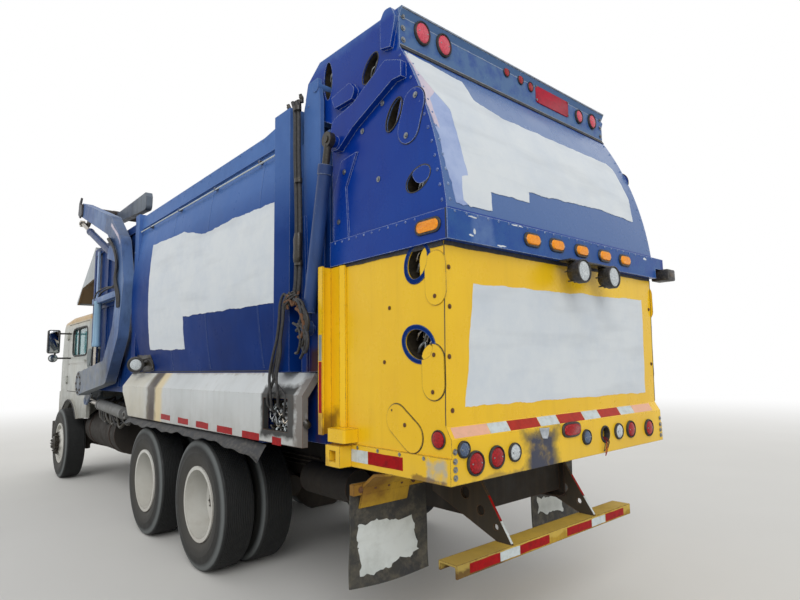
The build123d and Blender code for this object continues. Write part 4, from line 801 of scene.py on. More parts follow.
# Finishes of the solids that stay as they are
NODE_FINISH = {stem: finish for finish, stems in (
    (CAB_ENAMEL, "cab_shell cab_door"), (GLASS, "cab_glass door_glass"), (LAMP_HOUSING, "mirror"),
    (CAB_PLASTIC, "cab_interior"), (WHITE_LENS, "head_lamps"), (INTAKE_GREY, "air_intake"),
    (FRAME_PAINT, "front_bumper tank_and_battery_box chassis_frame front_axle rear_axles drive_shafts"),
    (FRAME_PAINT, "steering_knuckle"), (BODY_ENAMEL, "body_shell hopper"), (SHIELD_ENAMEL, "cab_shield"),
    (WORN_STEEL, "packer_panel"), (SKIRT_ENAMEL, "side_skirts"), (HANGER_PAINT, "guard_hangers"),
    (STEP_ENAMEL, "step_bar_and_flap_brackets"), (GATE_ENAMEL, "tailgate_upper"),
    (YELLOW_ENAMEL, "tailgate_lower"), (ARM_ENAMEL, "lift_arms"), (FORK_ENAMEL, "forks"),
    (CAST_IRON, "engine_block"), (WHEEL_ENAMEL, "front_rim forward_rims rear_rims"),
    (LIFT_GREY, "lift_barrel"), (BARREL_ENAMEL, "tilt_barrel gate_barrel"),
    (OLD_CHROME, "lift_rod tilt_rod"), (GREASE_AND_PAINTED_SHADE, "gate_rod")) for stem in stems.split()}
for name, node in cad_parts.items():
    stem = name.rsplit("_", 1)[0] if name.endswith(("_left", "_right")) else name
    if stem in NODE_FINISH:
        if not node.material_slots:
            node.data.materials.append(NODE_FINISH[stem])
        for place in node.material_slots:
            place.material = NODE_FINISH[stem]


# Tyres: a lathed carcass with fine tread ribs, a worn shoulder and a moulded line on the wall
def tyre_outline():
    wall = [(-0.114, 0.288), (-0.114, 0.3), (-0.124, 0.322), (-0.133, 0.346), (-0.1385, 0.375),
            (-0.14, 0.405),
            (-0.1405, 0.4075), (-0.1385, 0.411), (-0.1375, 0.44), (-0.134, 0.466), (-0.1295, 0.487),
            (-0.1255, 0.499), (-0.121, 0.507), (-0.113, 0.5145), (-0.104, 0.5195)]
    points, rib, ribs = list(wall), 0.0148, 14
    for i in range(ribs):
        x = -rib * ribs / 2 + i * rib
        crown = AXLE_Z - 0.0035 * ((x + rib / 2) / 0.1) ** 2
        points += [(x + 0.0012, crown - 0.0055), (x + 0.0026, crown),
                   (x + rib - 0.0026, crown), (x + rib - 0.0012, crown - 0.0055)]
    return [(r, x) for x, r in points + [(-x, r) for x, r in wall][::-1]]


DUAL_XS, DUAL_DISC = (DUAL_X, DUAL_X - DUAL_PITCH), DUAL_X - DUAL_PITCH / 2
FRONT_COVER = [(0.103, -0.02), (0.106, -0.004), (0.098, 0.004), (0.083, 0.013), (0.072, 0.0195),
               (0.066, 0.024),
               (0.0, 0.026)]
DUAL_COVER = [(0.09, -0.02), (0.092, -0.012), (0.08, -0.001), (0.074, 0.006), (0.0, 0.007)]
for side_name, s in SIDES:
    for label, y, xs, plural in (("front", FRONT_Y, (FRONT_X,), ""),
                                 ("forward", REAR_Y - TANDEM, DUAL_XS, "s"),
                                 ("rear", REAR_Y, DUAL_XS, "s")):
        body = f"{label}_wheel{plural}_{side_name}"
        piece = Piece(f"{label}_ribbed_tyres_{side_name}", body, "tyre_rubber", smooth=30)
        for x in xs:
            lathe(piece, TYRE, (s * x, y, AXLE_Z), (1, 0, 0), tyre_outline(), segments=112, closed=True)
        made = piece.done(f"{label}_tyre{plural}_{side_name}")
        far = made.data.attributes.new("radius", "FLOAT", "POINT")
        far.data.foreach_set("value", [hypot(v.co.y - y, v.co.z - AXLE_Z) for v in made.data.vertices])
        if label == "front":
            face_x, cap_x, base_x = FRONT_X + DISC_OUT + 0.007, FRONT_X + DISC_OUT + 0.07, -0.0185
            dark, stud, cover = GREASE_AND_PAINTED_SHADE, GREASE_AND_PAINTED_SHADE, FRONT_COVER
        else:
            face_x, cap_x, base_x = DUAL_DISC + 0.014, DUAL_DISC + 0.16, 0.0
            dark, stud, cover = WORN_STEEL, ZINC_AND_PAINTED_HIGHLIGHT, DUAL_COVER
        # Ten nuts on the bolt circle; studs stand out of them
        spots = [((s * face_x, p, q), (s, 0, 0)) for p, q in bolt_circle(10, STUD_R, y, AXLE_Z, 0.5)]
        fasten(f"{label}_wheel_nuts_{side_name}", body, spots, dark, 0.0165, 0.034, 0.92, 1.28)
        fasten(f"{label}_wheel_studs_{side_name}", body, spots, stud, 0.0095, 0.05, 0.9, 1.0,
               10)
        # Hub cover plate with its own ring of bolts
        cap = Piece(f"{label}_hub_cover_{side_name}", body, "frame_paint")
        lathe(cap, dark, (s * (cap_x + base_x), y, AXLE_Z), (s, 0, 0), cover, 40)
        cap.done()
        rim_bolts = [((s * (cap_x + 0.0045), p, q), (s, 0, 0)) for p, q in bolt_circle(8, 0.056, y, AXLE_Z)]
        fasten(f"{label}_hub_bolts_{side_name}", body, rim_bolts, dark, 0.008, 0.014)


# White paint rolled on by hand: the back, the yellow panel and both sides
REAR_WHITE = [(1.08, 3.352), (1.075, 3.223), (0.978, 3.089), (0.899, 3.003), (0.913, 2.808), (0.904, 2.604),
              (0.955, 2.587), (0.968, 2.452), (0.92, 2.423), (0.743, 2.433), (0.735, 2.543), (0.383, 2.546),
              (0.362, 2.613), (-0.463, 2.655), (-0.912, 2.641), (-0.97, 2.83), (-0.923, 3.078),
              (-0.85, 3.113),
              (0.404, 3.117), (0.62, 3.176), (0.642, 3.3)]
GHOST = [(1.076, 3.2), (1.072, 2.98), (1.06, 2.62), (1.02, 2.43), (0.9, 2.44), (0.78, 2.5), (0.86, 2.8),
         (0.72, 3.05), (0.8, 3.3)]
PINK_EDGE = [(1.084, 3.33), (1.078, 3.1), (1.076, 2.86), (1.05, 2.84), (1.04, 3.02), (0.985, 3.1),
             (1.02, 3.26)]
HEADER_SHADOW = [(1.09, 3.3705), (1.09, 3.3905), (-1.09, 3.3905), (-1.09, 3.3705)]
PANEL_WHITE = [(0.883, 2.032), (-0.957, 2.063), (-0.951, 1.398), (0.955, 1.413)]
WALL_WHITE = [(0.229, 2.945), (1.128, 2.914), (1.659, 2.794), (2.165, 2.813), (2.952, 2.787), (2.945, 2.067),
              (1.866, 2.09), (1.189, 2.099), (1.186, 1.804), (0.217, 1.826)]
# The black strip under the header in this skin is painted shadow
rear = Piece("rear_overpaint", "tailgate", "white_cab_paint")
for finish, outline, thick, jitter, seed in (
        (WHITE_GHOST, GHOST, 0.003, 0.016, 3.1), (PRIMER_PINK, PINK_EDGE, 0.0034, 0.014, 8.1),
        (WHITE_OVER, REAR_WHITE, 0.0038, 0.01, 1.7), (SEALANT_AND_PAINTED_SHADOW, HEADER_SHADOW, 0.006, 0.0, 1.0)):
    skin(rear, finish, outline, on_back, thick, 0.06, jitter, seed)
skin(rear, WHITE_OVER, PANEL_WHITE, on_panel, thick=0.001, jitter=0.008, seed=5.2)
# Flakes of paint gone from the band's left end
for x, z, w, h, seed in ((0.93, 2.368, 0.034, 0.005, 4.0), (0.915, 2.29, 0.009, 0.016, 7.0),
                         (0.945, 2.27, 0.018, 0.005, 8.5), (0.7, 2.244, 0.04, 0.005, 6.1),
                         (-0.95, 2.36, 0.024, 0.009, 9.9), (0.56, 2.374, 0.05, 0.004, 5.5)):
    skin(rear, WHITE_OVER, ellipse(w, h, x, z, count=14), on_y(BAND_Y), jitter=0.006, seed=seed, step=0.006)
rear.done()
walls = Piece("side_overpaint", "chassis", "white_cab_paint")
for _, s in SIDES:
    skin(walls, WHITE_OVER, WALL_WHITE, on_wall(s), thick=0.003, jitter=0.01, seed=2.4 + s)
walls.done()


# Reflective tapes: slope under the yellow panel, bottom strip, posts, skirts, step bar, hangers
def stick(piece, finish, outline, surface, jitter, seed):
    skin(piece, finish, outline, surface, thick=0.0009, jitter=jitter, seed=seed)


marks = Piece("tailgate_tapes", "tailgate", "red_lens")
SLOPE_ENDS = (1.072, 0.806, 0.643, 0.374, 0.187, -0.083, -0.271, -0.526, -0.719, -0.987)
SLOPE_FILMS = (PINK_TAPE, *(WHITE_TAPE, FADED_RED_TAPE) * 3, WHITE_TAPE, PINK_TAPE)
for left, far, finish in zip(SLOPE_ENDS, SLOPE_ENDS[1:], SLOPE_FILMS):
    stick(marks, finish, oblong(left - 0.002, far + 0.002, 0.1, 0.9), on_slope, 0.0025, left)
for _, s in SIDES:
    for y0, y1, finish in ((3.742, 3.895, WHITE_TAPE), (3.895, 4.186, RED_TAPE)):
        stick(marks, finish, oblong(y0, y1 - 0.003, 1.085, 1.152), on_x(s * 1.108), 0.002, y0)
    for z0, z1, finish in ((1.655, 1.81, GREY_TAPE), (1.35, 1.652, RED_TAPE)):
        stick(marks, finish, oblong(3.537, 3.568, z0, z1), on_x(s * 1.195), 0.0015, z0)
marks.done()
strips = Piece("chassis_tapes", "chassis", "red_lens")
SKIRT_TAPES = ((0.841, 1.085), (1.285, 1.522), (1.697, 1.949), (2.119, 2.388), (2.552, 2.812), (2.993, 3.112))
for _, s in SIDES:
    for i, (y0, y1) in enumerate(SKIRT_TAPES):
        top = 1.206 - 0.007 * i
        corners = [(y0, top - 0.05), (y1, top - 0.052), (y1, top - 0.003), (y0, top)]
        stick(strips, RED_TAPE, corners, on_x(s * SKIRT_X), 0.003, y0 + s)
    for x0, x1, finish in ((0.803, 0.56, RED_TAPE), (0.555, 0.383, WHITE_TAPE), (0.38, 0.095, RED_TAPE)):
        stick(strips, finish, oblong(s * x0, s * x1, 0.553, 0.601), on_y(4.345), 0.003, x0 + s)
    # Tape wraps the drilled hanger's raked rear edge
    a, b = Vector((0, 4.11, 0.96)), Vector((0, 4.34, 0.612))
    run = (b - a).normalized()
    out = Vector((0, -run.z, run.y))
    for t0, t1, finish in ((0.3, 0.66, RED_TAPE), (0.67, 0.98, WHITE_TAPE)):
        p, q = a + (b - a) * t0, a + (b - a) * t1
        skin(strips, finish, oblong(s * 0.4305, s * 0.4475, 0.0, 1.0),
             lambda x, t, h, p=p, q=q, out=out: Vector((x, 0, 0)) + p + (q - p) * t + out * h, 0.0012, 0.5)
strips.done()

# A pale rag end is caught under the tape above the smear
rag = Piece("caught_rag", "tailgate", "white_cab_paint")
skin(rag, RAG, [(0.395, 1.262), (0.3, 1.262), (0.315, 1.23), (0.335, 1.205), (0.372, 1.208),
                (0.388, 1.235)],
     lambda u, v, h: Vector((u, FACE_Y + h + 0.004 + 0.004 * sin(60 * u), v)), 0.003, 0.012, 0.006, 4.9)
rag.done()


# Lamps: a black rubber ring with a rolled edge, a domed lens and two screws
def round_lamp(piece, finish, centre, r, oval=1.0, proud=0.016, screws=True):
    x, y, z = centre
    ring = ((1.15, 0.0), (1.16, 0.45), (1.11, 0.85), (1.04, 1), (0.98, 0.8))
    dome = ((0.96, 0.55), (0.88, 0.82), (0.7, 1.02), (0.35, 1.16), (0, 1.2))
    for made, outline in ((RUBBER, [(r * a, proud * b) for a, b in ring] + [(r * 0.95, 0.001)]),
                          (finish, [(r * 0.96, 0.001)] + [(r * a, proud * b) for a, b in dome])):
        lathe(piece, made, centre, (0, 1, 0), outline, 36, (1, oval))
    if screws:
        for k in (-1, 1):
            lathe(piece, ZINC_AND_PAINTED_HIGHLIGHT, (x + k * r * 0.62, y + proud * 0.98, z), (0, 1, 0),
                  [(0.0045, 0.0), (0.0045, 0.0025), (0.003, 0.004), (0, 0.0042)], 12)


lamps = Piece("tail_lamp_lenses", "tailgate", "red_lens", smooth=50)
for x, z, r, finish in (
        (0.936, 1.142, 0.053, RED_LENS), (0.775, 1.152, 0.051, RED_LENS), (-0.631, 1.17, 0.049, RED_LENS),
        (-0.891, 1.158, 0.051, RED_LENS), (0.627, 1.16, 0.043, WHITE_LENS),
        (-0.469, 1.171, 0.045, WHITE_LENS),
        (1.018, 1.216, 0.036, BLUE_LENS), (-0.079, 1.17, 0.04, BLUE_LENS)):
    round_lamp(lamps, finish, (x, FACE_Y, z), r)
# The oblong red lamp lies flat above the empty hole
for finish, rx, ry, low, high, rounding in ((LAMP_HOUSING, 0.096, 0.045, 0.0, 0.01, 0.003),
                                            (RED_LENS, 0.082, 0.033, 0.008, 0.017, 0.005)):
    relief(lamps, finish, ellipse(rx, ry, -0.08, 1.229, square=3), (0, FACE_Y, 0), (0, 1, 0), low, high,
           rounding)
for x, z, r, oval in ((0.922, 3.528, 0.054, 1.18), (0.744, 3.522, 0.054, 1.18), (-0.745, 3.508, 0.042, 1.15),
                      (-0.938, 3.522, 0.047, 1.15)):
    round_lamp(lamps, PINK_LENS, (x, HEADER_Y, z), r, oval, 0.018)
for x, z in ((0.139, 3.568), (-0.015, 3.565), (-0.129, 3.549)):
    round_lamp(lamps, RED_LENS, (x, HEADER_Y, z), 0.027, 1.2, 0.01, screws=False)
relief(lamps, RED_PLATE, ellipse(0.205, 0.067, 0.396, 3.525, square=14), (0, HEADER_Y, 0), (0, 1, 0), 0.0,
       0.007,
       0.003)
# Rim of the empty lamp hole, its wires looped back into it
HOLE_X, HOLE_Z = -0.303, 1.167
lathe(lamps, RUBBER, (HOLE_X, FACE_Y, HOLE_Z), (0, 1, 0),
      [(0.054, 0), (0.054, 0.005), (0.049, 0.008), (0.044, 0.007), (0.043, -0.03), (0.046, -0.03)],
      closed=True)
for dx, drop, finish in ((0.012, 0.13, RED_TAPE), (0.02, 0.1, RUBBER), (-0.004, 0.085, RUBBER)):
    loop = ((1, 4.47, 1.15), (1, 4.518, 1.14), (1.6, 4.5385, 1.118), (2, 4.53, HOLE_Z - drop),
            (-1, 4.5345, 1.11), (-1.4, 4.518, 1.139), (-1, 4.47, 1.152))
    tube(lamps, finish, [(HOLE_X + dx * k, y, z) for k, y, z in loop], 0.0022, 7, 5)
# Round marker lamp low on each side, close to the rear corner
for _, s in SIDES:
    spot = (s * GATE_X, 4.436, 1.262)
    lathe(lamps, LAMP_HOUSING, spot, (s, 0, 0),
          [(0.046, 0.0), (0.0465, 0.006), (0.043, 0.0085), (0.04, 0.007), (0.039, 0.001)])
    lathe(lamps, RED_LENS, spot, (s, 0, 0), [(0.0395, 0.001), (0.038, 0.009), (0.026, 0.013), (0.0, 0.0145)])
lamps.done("tailgate_lamps")

# Amber lamps: a black stadium housing, a ribbed lens and a screw at each end
AMBER_Z = 2.313
ambers = Piece("amber_marker_lamps", "tailgate", "amber_lens", smooth=50)
for x in (0.426, 0.182, -0.089, -0.37, -0.64):
    base = (0, BAND_Y, 0)
    relief(ambers, LAMP_HOUSING, stadium(0.078, 0.041, -x, AMBER_Z), base, (0, 1, 0), 0.0, 0.01, 0.004)
    relief(ambers, AMBER_LENS, stadium(0.064, 0.029, -x, AMBER_Z), base, (0, 1, 0), 0.006, 0.0185, 0.008)
    for k in (-1, 1):
        lathe(ambers, ZINC_AND_PAINTED_HIGHLIGHT, (x + k * 0.07, BAND_Y + 0.0095, AMBER_Z), (0, 1, 0),
              [(0.005, 0), (0.005, 0.002), (0, 0.0035)], 10)
for _, s in SIDES:
    base = (s * 1.116, 0, 0)
    relief(ambers, LAMP_HOUSING, stadium(0.094, 0.04, s * 4.415, 2.315), base, (s, 0, 0), 0.0, 0.008, 0.003)
    relief(ambers, AMBER_LENS, stadium(0.08, 0.029, s * 4.415, 2.315), base, (s, 0, 0), 0.005, 0.0115, 0.004)
ambers.done("amber_lamps")

# Work lamps hang from a bracket under the band; a black latch box sits behind the right wing
WORK_BOWL = [(0.0, 0.0), (0.03, 0.002), (0.05, 0.012), (0.061, 0.035), (0.066, 0.055), (0.0705, 0.058),
             (0.0715, 0.1), (0.068, 0.1045), (0.064, 0.1045), (0.061, 0.096), (0.0, 0.096)]
WORK_GLASS = [(0.0605, 0.0955), (0.058, 0.0985), (0.045, 0.101), (0.0, 0.1025)]
work = Piece("work_lamp_pair", "tailgate", "cab_plastic")
block(work, LAMP_HOUSING, (-0.33, 4.54, 2.219), (0.15, 4.62, 2.2305), 0.003)
for x, z in ((0.08, 2.155), (-0.27, 2.15)):
    block(work, LAMP_HOUSING, (x - 0.02, 4.566, z + 0.03), (x + 0.02, 4.6, 2.222), 0.004)
    lathe(work, LAMP_HOUSING, (x, 4.565, z), (0, 1, 0), WORK_BOWL, 40)
    lathe(work, WHITE_LENS, (x, 4.565, z), (0, 1, 0), WORK_GLASS, 40)
    for p, q in bolt_circle(6, 0.062, x, z):
        block(work, LAMP_HOUSING, (p - 0.004, 4.572, q - 0.004), (p + 0.004, 4.622, q + 0.004), 0.001)
block(work, LAMP_HOUSING, (-1.311, 4.48, 2.22), (-1.186, 4.61, 2.305), 0.012)
block(work, WORN_STEEL, (-1.29, 4.595, 2.24), (-1.205, 4.612, 2.285), 0.006)
work.done("work_lamps")


def overlap(ring, other):
    """The common part of two convex outlines."""
    def within(p, loop):
        turns = [(b[0] - a[0]) * (p[1] - a[1]) - (b[1] - a[1]) * (p[0] - a[0])
                 for a, b in zip(loop, loop[1:] + loop[:1])]
        return min(turns) >= 0 or max(turns) <= 0
    both = [p for p in ring if within(p, other)] + [p for p in other if within(p, ring)]
    mid = (sum(p[0] for p in both) / len(both), sum(p[1] for p in both) / len(both))
    return sorted(both, key=lambda p: atan2(p[1] - mid[1], p[0] - mid[0]))


# Side openings (y, z, half length, half width, tilt), each with the cover that laps over it
HOLES = (((3.498, 3.47, 0.128, 0.048, 90), None), ((3.94, 3.368, 0.096, 0.052, 48), None),
         ((4.15, 3.005, 0.096, 0.048, 55), (GATE_ENAMEL, 0.0058,
                                             stadium(0.15, 0.084, 4.262, 2.962, radians(70)))),
         ((4.33, 2.59, 0.095, 0.058, 20), (GATE_ENAMEL, 0.0006,
                                             stadium(0.138, 0.074, 4.392, 2.69, radians(60)))),
         ((4.312, 2.15, 0.092, 0.072, 60), (YELLOW_ENAMEL, 0.0058,
                                             stadium(0.138, 0.074, 4.408, 2.085, pi / 2))),
         ((4.31, 1.725, 0.105, 0.074, -20), (YELLOW_ENAMEL, 0.0058,
                                              stadium(0.138, 0.078, 4.411, 1.586, pi / 2))))
# Cables and plug leads inside the side walls: finish, x, half thickness and (y, z) points
WALL_LEADS = (
    (OLD_CHROME, 1.02, 0.012, ((3.7, 3.25), (3.86, 3.315), (3.97, 3.31), (4.06, 3.16), (4.15, 2.985),
                                (4.22, 2.78),
                                (4.3, 2.6), (4.33, 2.44), (4.3, 2.3))),
    (ZINC_AND_PAINTED_HIGHLIGHT, 0.99, 0.009, ((3.7, 3.3), (3.9, 3.4), (4.02, 3.33), (4.1, 3.08), (4.22, 2.95), (4.28, 2.66),
                          (4.39, 2.56), (4.4, 2.42))),
    (OLD_CHROME, 1.02, 0.012, ((4.2, 2.2), (4.27, 2.16), (4.34, 2.09), (4.33, 1.9), (4.3, 1.76),
                                (4.26, 1.64),
                                (4.24, 1.5))),
    (ZINC_AND_PAINTED_HIGHLIGHT, 1.0, 0.008, ((4.38, 2.22), (4.29, 2.12), (4.3, 1.95), (4.36, 1.74), (4.32, 1.6))))
# Tailgate trim: sealant in the seams, worn edges, rims round the side openings, cover outlines
trim = Piece("tailgate_trim", "tailgate", "blue_body_paint")
for _, s in SIDES:
    x, base, side = s * GATE_X, (s * GATE_X, 0, 0), (s, 0, 0)
    skin(trim, SEALANT_AND_PAINTED_SHADOW, [(3.56, 2.2125), (4.5, 2.207), (4.5, 2.233), (3.56, 2.233)], on_x(x),
         0.004, 0.3, 0.0035, 4.4 + s)
    skin(trim, SEALANT_AND_PAINTED_SHADOW, [(4.483, 1.33), (4.4875, 1.33), (4.5075, 2.215), (4.503, 2.215)], on_x(x),
         0.0016, 0.3, 0.001, 7.2 + s)
    skin(trim, SEALANT_AND_PAINTED_SHADOW, oblong(4.537, 4.544, 2.235, 2.384), on_x(s * (GATE_X + 0.02)), 0.0016,
         jitter=0.0012,
         seed=2.6 + s)
    # Wedge under the header's top flange, and a small rusted latch beside the middle cover
    wedge = [(HEADER_Y + 0.0254, 3.6158), (HEADER_Y + 0.0006, 3.568), (HEADER_Y + 0.0006, 3.6158)]
    trim.mesh([(s * u, y, z) for u in (0.0, 1.0945) for y, z in wedge],
              [[0, 1, 2], [3, 5, 4], [0, 3, 4, 1], [1, 4, 5, 2], [2, 5, 3, 0]], GATE_ENAMEL)
    for y0, y1, z0, z1 in ((4.462, 4.466, 1.53, 1.63), (4.482, 4.486, 1.53, 1.63),
                           (4.462, 4.486, 1.626, 1.63),
                           (4.462, 4.486, 1.53, 1.534)):
        side_block(trim, RUST, s, (GATE_X, GATE_X + 0.002), (y0, y1), (z0, z1), 0.0)
    # Two openings in the yellow sides keep a rim of the old blue, three blue ones a greasy edge
    for (y, z, a, b, tilt), _ in HOLES[4:]:
        inner = ellipse(a, b, y, z, radians(tilt), 40)
        outer = turned(ellipse(a + 0.024, b + 0.024, -0.004, count=40), y, z, radians(tilt))
        relief(trim, BODY_ENAMEL, flip(s, outer), base, side, -0.001, 0.0045, 0.0015, hole=flip(s, inner))
    for ((y, z, a, b, tilt), _), proud in zip(HOLES[1:4], (0.0022, 0.0072, 0.0022)):
        inner, outer = [flip(s, ellipse(a + lip, b + lip, y, z, radians(tilt), 40)) for lip in (0, 0.006)]
        relief(trim, GREASE_AND_PAINTED_SHADE, outer, base, side, -0.001, proud, 0.001, hole=inner)
    # Behind each opening lies a black pocket of painted shade; a swinging cover hides part of most openings
    for (y, z, a, b, tilt), cover in HOLES:
        rim = ellipse(a, b, y, z, radians(tilt), 40)
        deep = [(s * 1.0895, p, q) for p, q in rim]
        deep += [(s * 0.985, y + (p - y) * 0.9, z + (q - z) * 0.9) for p, q in rim] + [(s * 0.984, y, z)]
        flanks, bottom = [], []
        for k in range(40):
            n = (k + 1) % 40
            flanks.append([k, n, 40 + n, 40 + k])
            bottom.append([40 + k, 40 + n, 80])
        trim.mesh(deep, flanks + bottom, GREASE_AND_PAINTED_SHADE)
        if cover:
            enamel, proud, outline = cover
            relief(trim, enamel, flip(s, overlap(rim, outline)), base, side, -0.004, proud)
        # Silvery couplings and cable loops inside it
        for k in range(5):
            t = 1.3 * k + y * 7
            p, q = y + a * 0.45 * cos(t), z + a * 0.45 * sin(t * 1.7)
            loop = [(1.04, p - 0.03, q - 0.02), (1.052, p, q + 0.014), (1.036, p + 0.018, q + 0.03),
                    (1.046, p + 0.03, q - 0.012)]
            side_tube(trim, OLD_CHROME if k % 2 else ZINC_AND_PAINTED_HIGHLIGHT, s, loop, 0.0065 + 0.001 * (k % 3), 8, 4)
    # Each swinging cover is outlined by a dark line, the painted shadow of its edge
    for y, z, half, r, tilt in ((4.288, 2.95, 0.15, 0.084, 70), (4.411, 1.586, 0.138, 0.078, 90),
                                (4.188, 1.3, 0.15, 0.08, -35)):
        turn = radians(tilt) if s > 0 else pi - radians(tilt)
        outer, inner = [stadium(half + lip, r + lip, s * y, z, turn) for lip in (0.005, -0.0005)]
        relief(trim, SEALANT_AND_PAINTED_SHADOW, outer, base, side, -0.001, 0.0016, 0.0, hole=inner)
    # Steel cables and plug leads cross behind the openings, clamped to the inside of the wall
    for finish, lead_x, thick, points in WALL_LEADS:
        side_tube(trim, finish, s, [(lead_x, y, z) for y, z in points], thick, 10, 5)
    for y, z in ((3.72, 3.26), (4.3, 2.31), (4.24, 1.51), (4.215, 2.2), (4.385, 2.21), (4.325, 1.61),
                 (4.4, 2.43)):
        side_block(trim, WORN_STEEL, s, (0.975, 1.06), (y - 0.018, y + 0.018), (z - 0.018, z + 0.018), 0.003)
# Painted shadow strip under the header, a worn bright lip on its lower edge, and a painted highlight strip on
# its top edge
for z, w, finish, proud in ((3.3955, 0.005, SEALANT_AND_PAINTED_SHADOW, 0.003), (3.403, 0.0022, ZINC_AND_PAINTED_HIGHLIGHT, 0.0022),
                            (3.6125, 0.003, ZINC_AND_PAINTED_HIGHLIGHT, 0.027)):
    relief(trim, finish, oblong(-1.09, 1.09, z - w, z + w), (0, HEADER_Y, 0), (0, 1, 0), -0.001, proud,
           0.0008)
skin(trim, SEALANT_AND_PAINTED_SHADOW, [(1.094, 2.207), (-1.09, 2.212), (-1.09, 2.233), (1.094, 2.233)], on_panel,
     0.004, 0.3, 0.0035, 9.1)
trim.done()

# Rivets and bolts of the tailgate
rivets, bolts, small = [], [], []
for _, s in SIDES:
    side, z = (s, 0, 0), 2.44
    while z < 3.36:
        slope = Vector((0, back_y(z) - BACK_ARC[0], z - BACK_ARC[1])).normalized()
        spot = Vector((0, back_y(z), z)) - slope * 0.026
        rivets.append(((s * 1.0965, spot.y, spot.z), side))
        rivets.append(((s * 1.066, back_y(z), z), (0, slope.y, slope.z)))
        z += 0.082
    rivets += [((s * 1.1162, 3.6 + 0.072 * k, 2.37), side, 0.8) for k in range(11)]
    small += [((s * (1.103 if y > 4.15 else 1.0975), y, z), side) for y, z in (
        (4.084, 1.931), (4.035, 1.64), (4.438, 1.96), (4.408, 1.488), (4.422, 1.67), (4.095, 1.387),
        (4.197, 1.316))]
    bolts += [((s * x, y, z), side, 0.9) for x, y, z in (
        (1.0975, 4.049, 3.11), (1.0975, 3.86, 3.007), (1.0975, 4.004, 2.674), (1.1035, 4.33, 3.05),
        (1.1035, 4.25, 2.85), (1.1095, 3.63, 2.5), (1.1095, 3.69, 2.8))]
    bolts += [((s * 1.076, 4.5215, z), (0, 1, 0), 0.8) for z in (1.09, 1.128, 1.166, 1.21)]
    bolts += [((s * 1.068, 4.2035, z), (0, 1, 0), 0.9) for z in (3.435, 3.505, 3.575)]
    bolts += [((s * 1.1092, y, 1.165), side, 0.55) for y in (3.8, 3.98, 4.16, 4.34)]
rivets += [((-1.06 + 2.12 * k / 25, 4.5502, 2.3745), (0, 1, 0), 0.8) for k in range(26)]
bolts += [((-x, 4.2095, z), (0, 1, 0), 0.45) for x in (0.195, 0.597) for z in (3.475, 3.575)]
small += [((x, panel_y(z) + 0.001, z), (0, 1, 0), 1.1) for x, z in (
    (1.066, 2.1), (1.062, 1.905), (1.068, 1.66), (1.05, 1.4), (-1.066, 2.0), (-1.066, 1.6))]
fasten("tailgate_rivets", "tailgate", rivets, GATE_ENAMEL, 0.0085, 0.006, 0.55, 1.0, 12)
fasten("tailgate_rusted_screws", "tailgate", small, RUST, 0.0075, 0.006)
fasten("tailgate_bolts", "tailgate", bolts, ZINC_AND_PAINTED_HIGHLIGHT, 0.0125, 0.009)

# Fender rubber hangs from the skirt in waves and has torn loose at its rear end
FENDER_Y, FENDER_LONG = -0.2, 3.05


def sway(y, s):
    return 0.01 * sin(y * 9.5 + s) + 0.007 * sin(y * 23 + 1.3)


def droop_at(t):
    return 0.075 * max(0.0, (t - 0.78) / 0.22) ** 1.6


def sheet_faces(rows, cols):
    """Faces of a sheet with two layers of (rows + 1) by (cols + 1) points."""
    w, n, faces = cols + 1, (rows + 1) * (cols + 1), []
    for a in [i * w + j for i in range(rows) for j in range(cols)]:
        faces += [[a, a + 1, a + w + 1, a + w], [n + a, n + a + w, n + a + w + 1, n + a + 1]]
    edges = [(i * w + j, (i + 1) * w + j) for i in range(rows) for j in (0, cols)]
    edges += [(i * w + j, i * w + j + 1) for j in range(cols) for i in (0, rows)]
    return faces + [[a, b, b + n, a + n] for a, b in edges]


rubber = Piece("torn_fender_rubber", "chassis", "black_rubber", smooth=60)
for _, s in SIDES:
    rows, cols = 120, 5
    verts = []
    for under, i, j in [(u, i, j) for u in (0, 1) for i in range(rows + 1) for j in range(cols + 1)]:
        y, q, droop = FENDER_Y + FENDER_LONG * i / rows, j / cols, droop_at(i / rows)
        wave = sway(y, s) + 0.005 * noise.noise(Vector((y * 6, s, 0)))
        x = 1.17 + 0.074 * q - 0.012 * droop * 10 * q
        z = 1.124 - 0.03 * q - 0.024 * q * q + wave * q - droop * (0.35 + 0.65 * q) - 0.005 * under
        verts.append((s * min(x, 1.2445), y, z))
    rubber.mesh(verts, sheet_faces(rows, cols), FENDER_RUBBER)
    # A bead runs along the outer edge
    bead = [(s * 1.2395, y, 1.067 + sway(y, s) - droop_at(i / 60))
            for i, y in enumerate(FENDER_Y + FENDER_LONG * k / 60 for k in range(61))]
    tube(rubber, FENDER_RUBBER, bead, 0.0048, 8, 1)


# Mud flaps: thick sheet that has taken a bend, each with a worn white square on its back
def flap_point(s, u, v, h):
    top, bottom = 0.96, 0.388
    z = top + (bottom - top) * v + 0.02 * u * v - 0.012 * sin(3 * u) * v
    swing = 0.03 * v * v * sin(1.2 + 1.6 * u) + 0.012 * sin(3.1 * u + 5 * v) * v
    x = 0.545 + (0.57 + 0.03 * v) * u + 0.006 * sin(9 * v) * u
    return Vector((s * x, 3.741 + max(0.0, swing) + h, z))


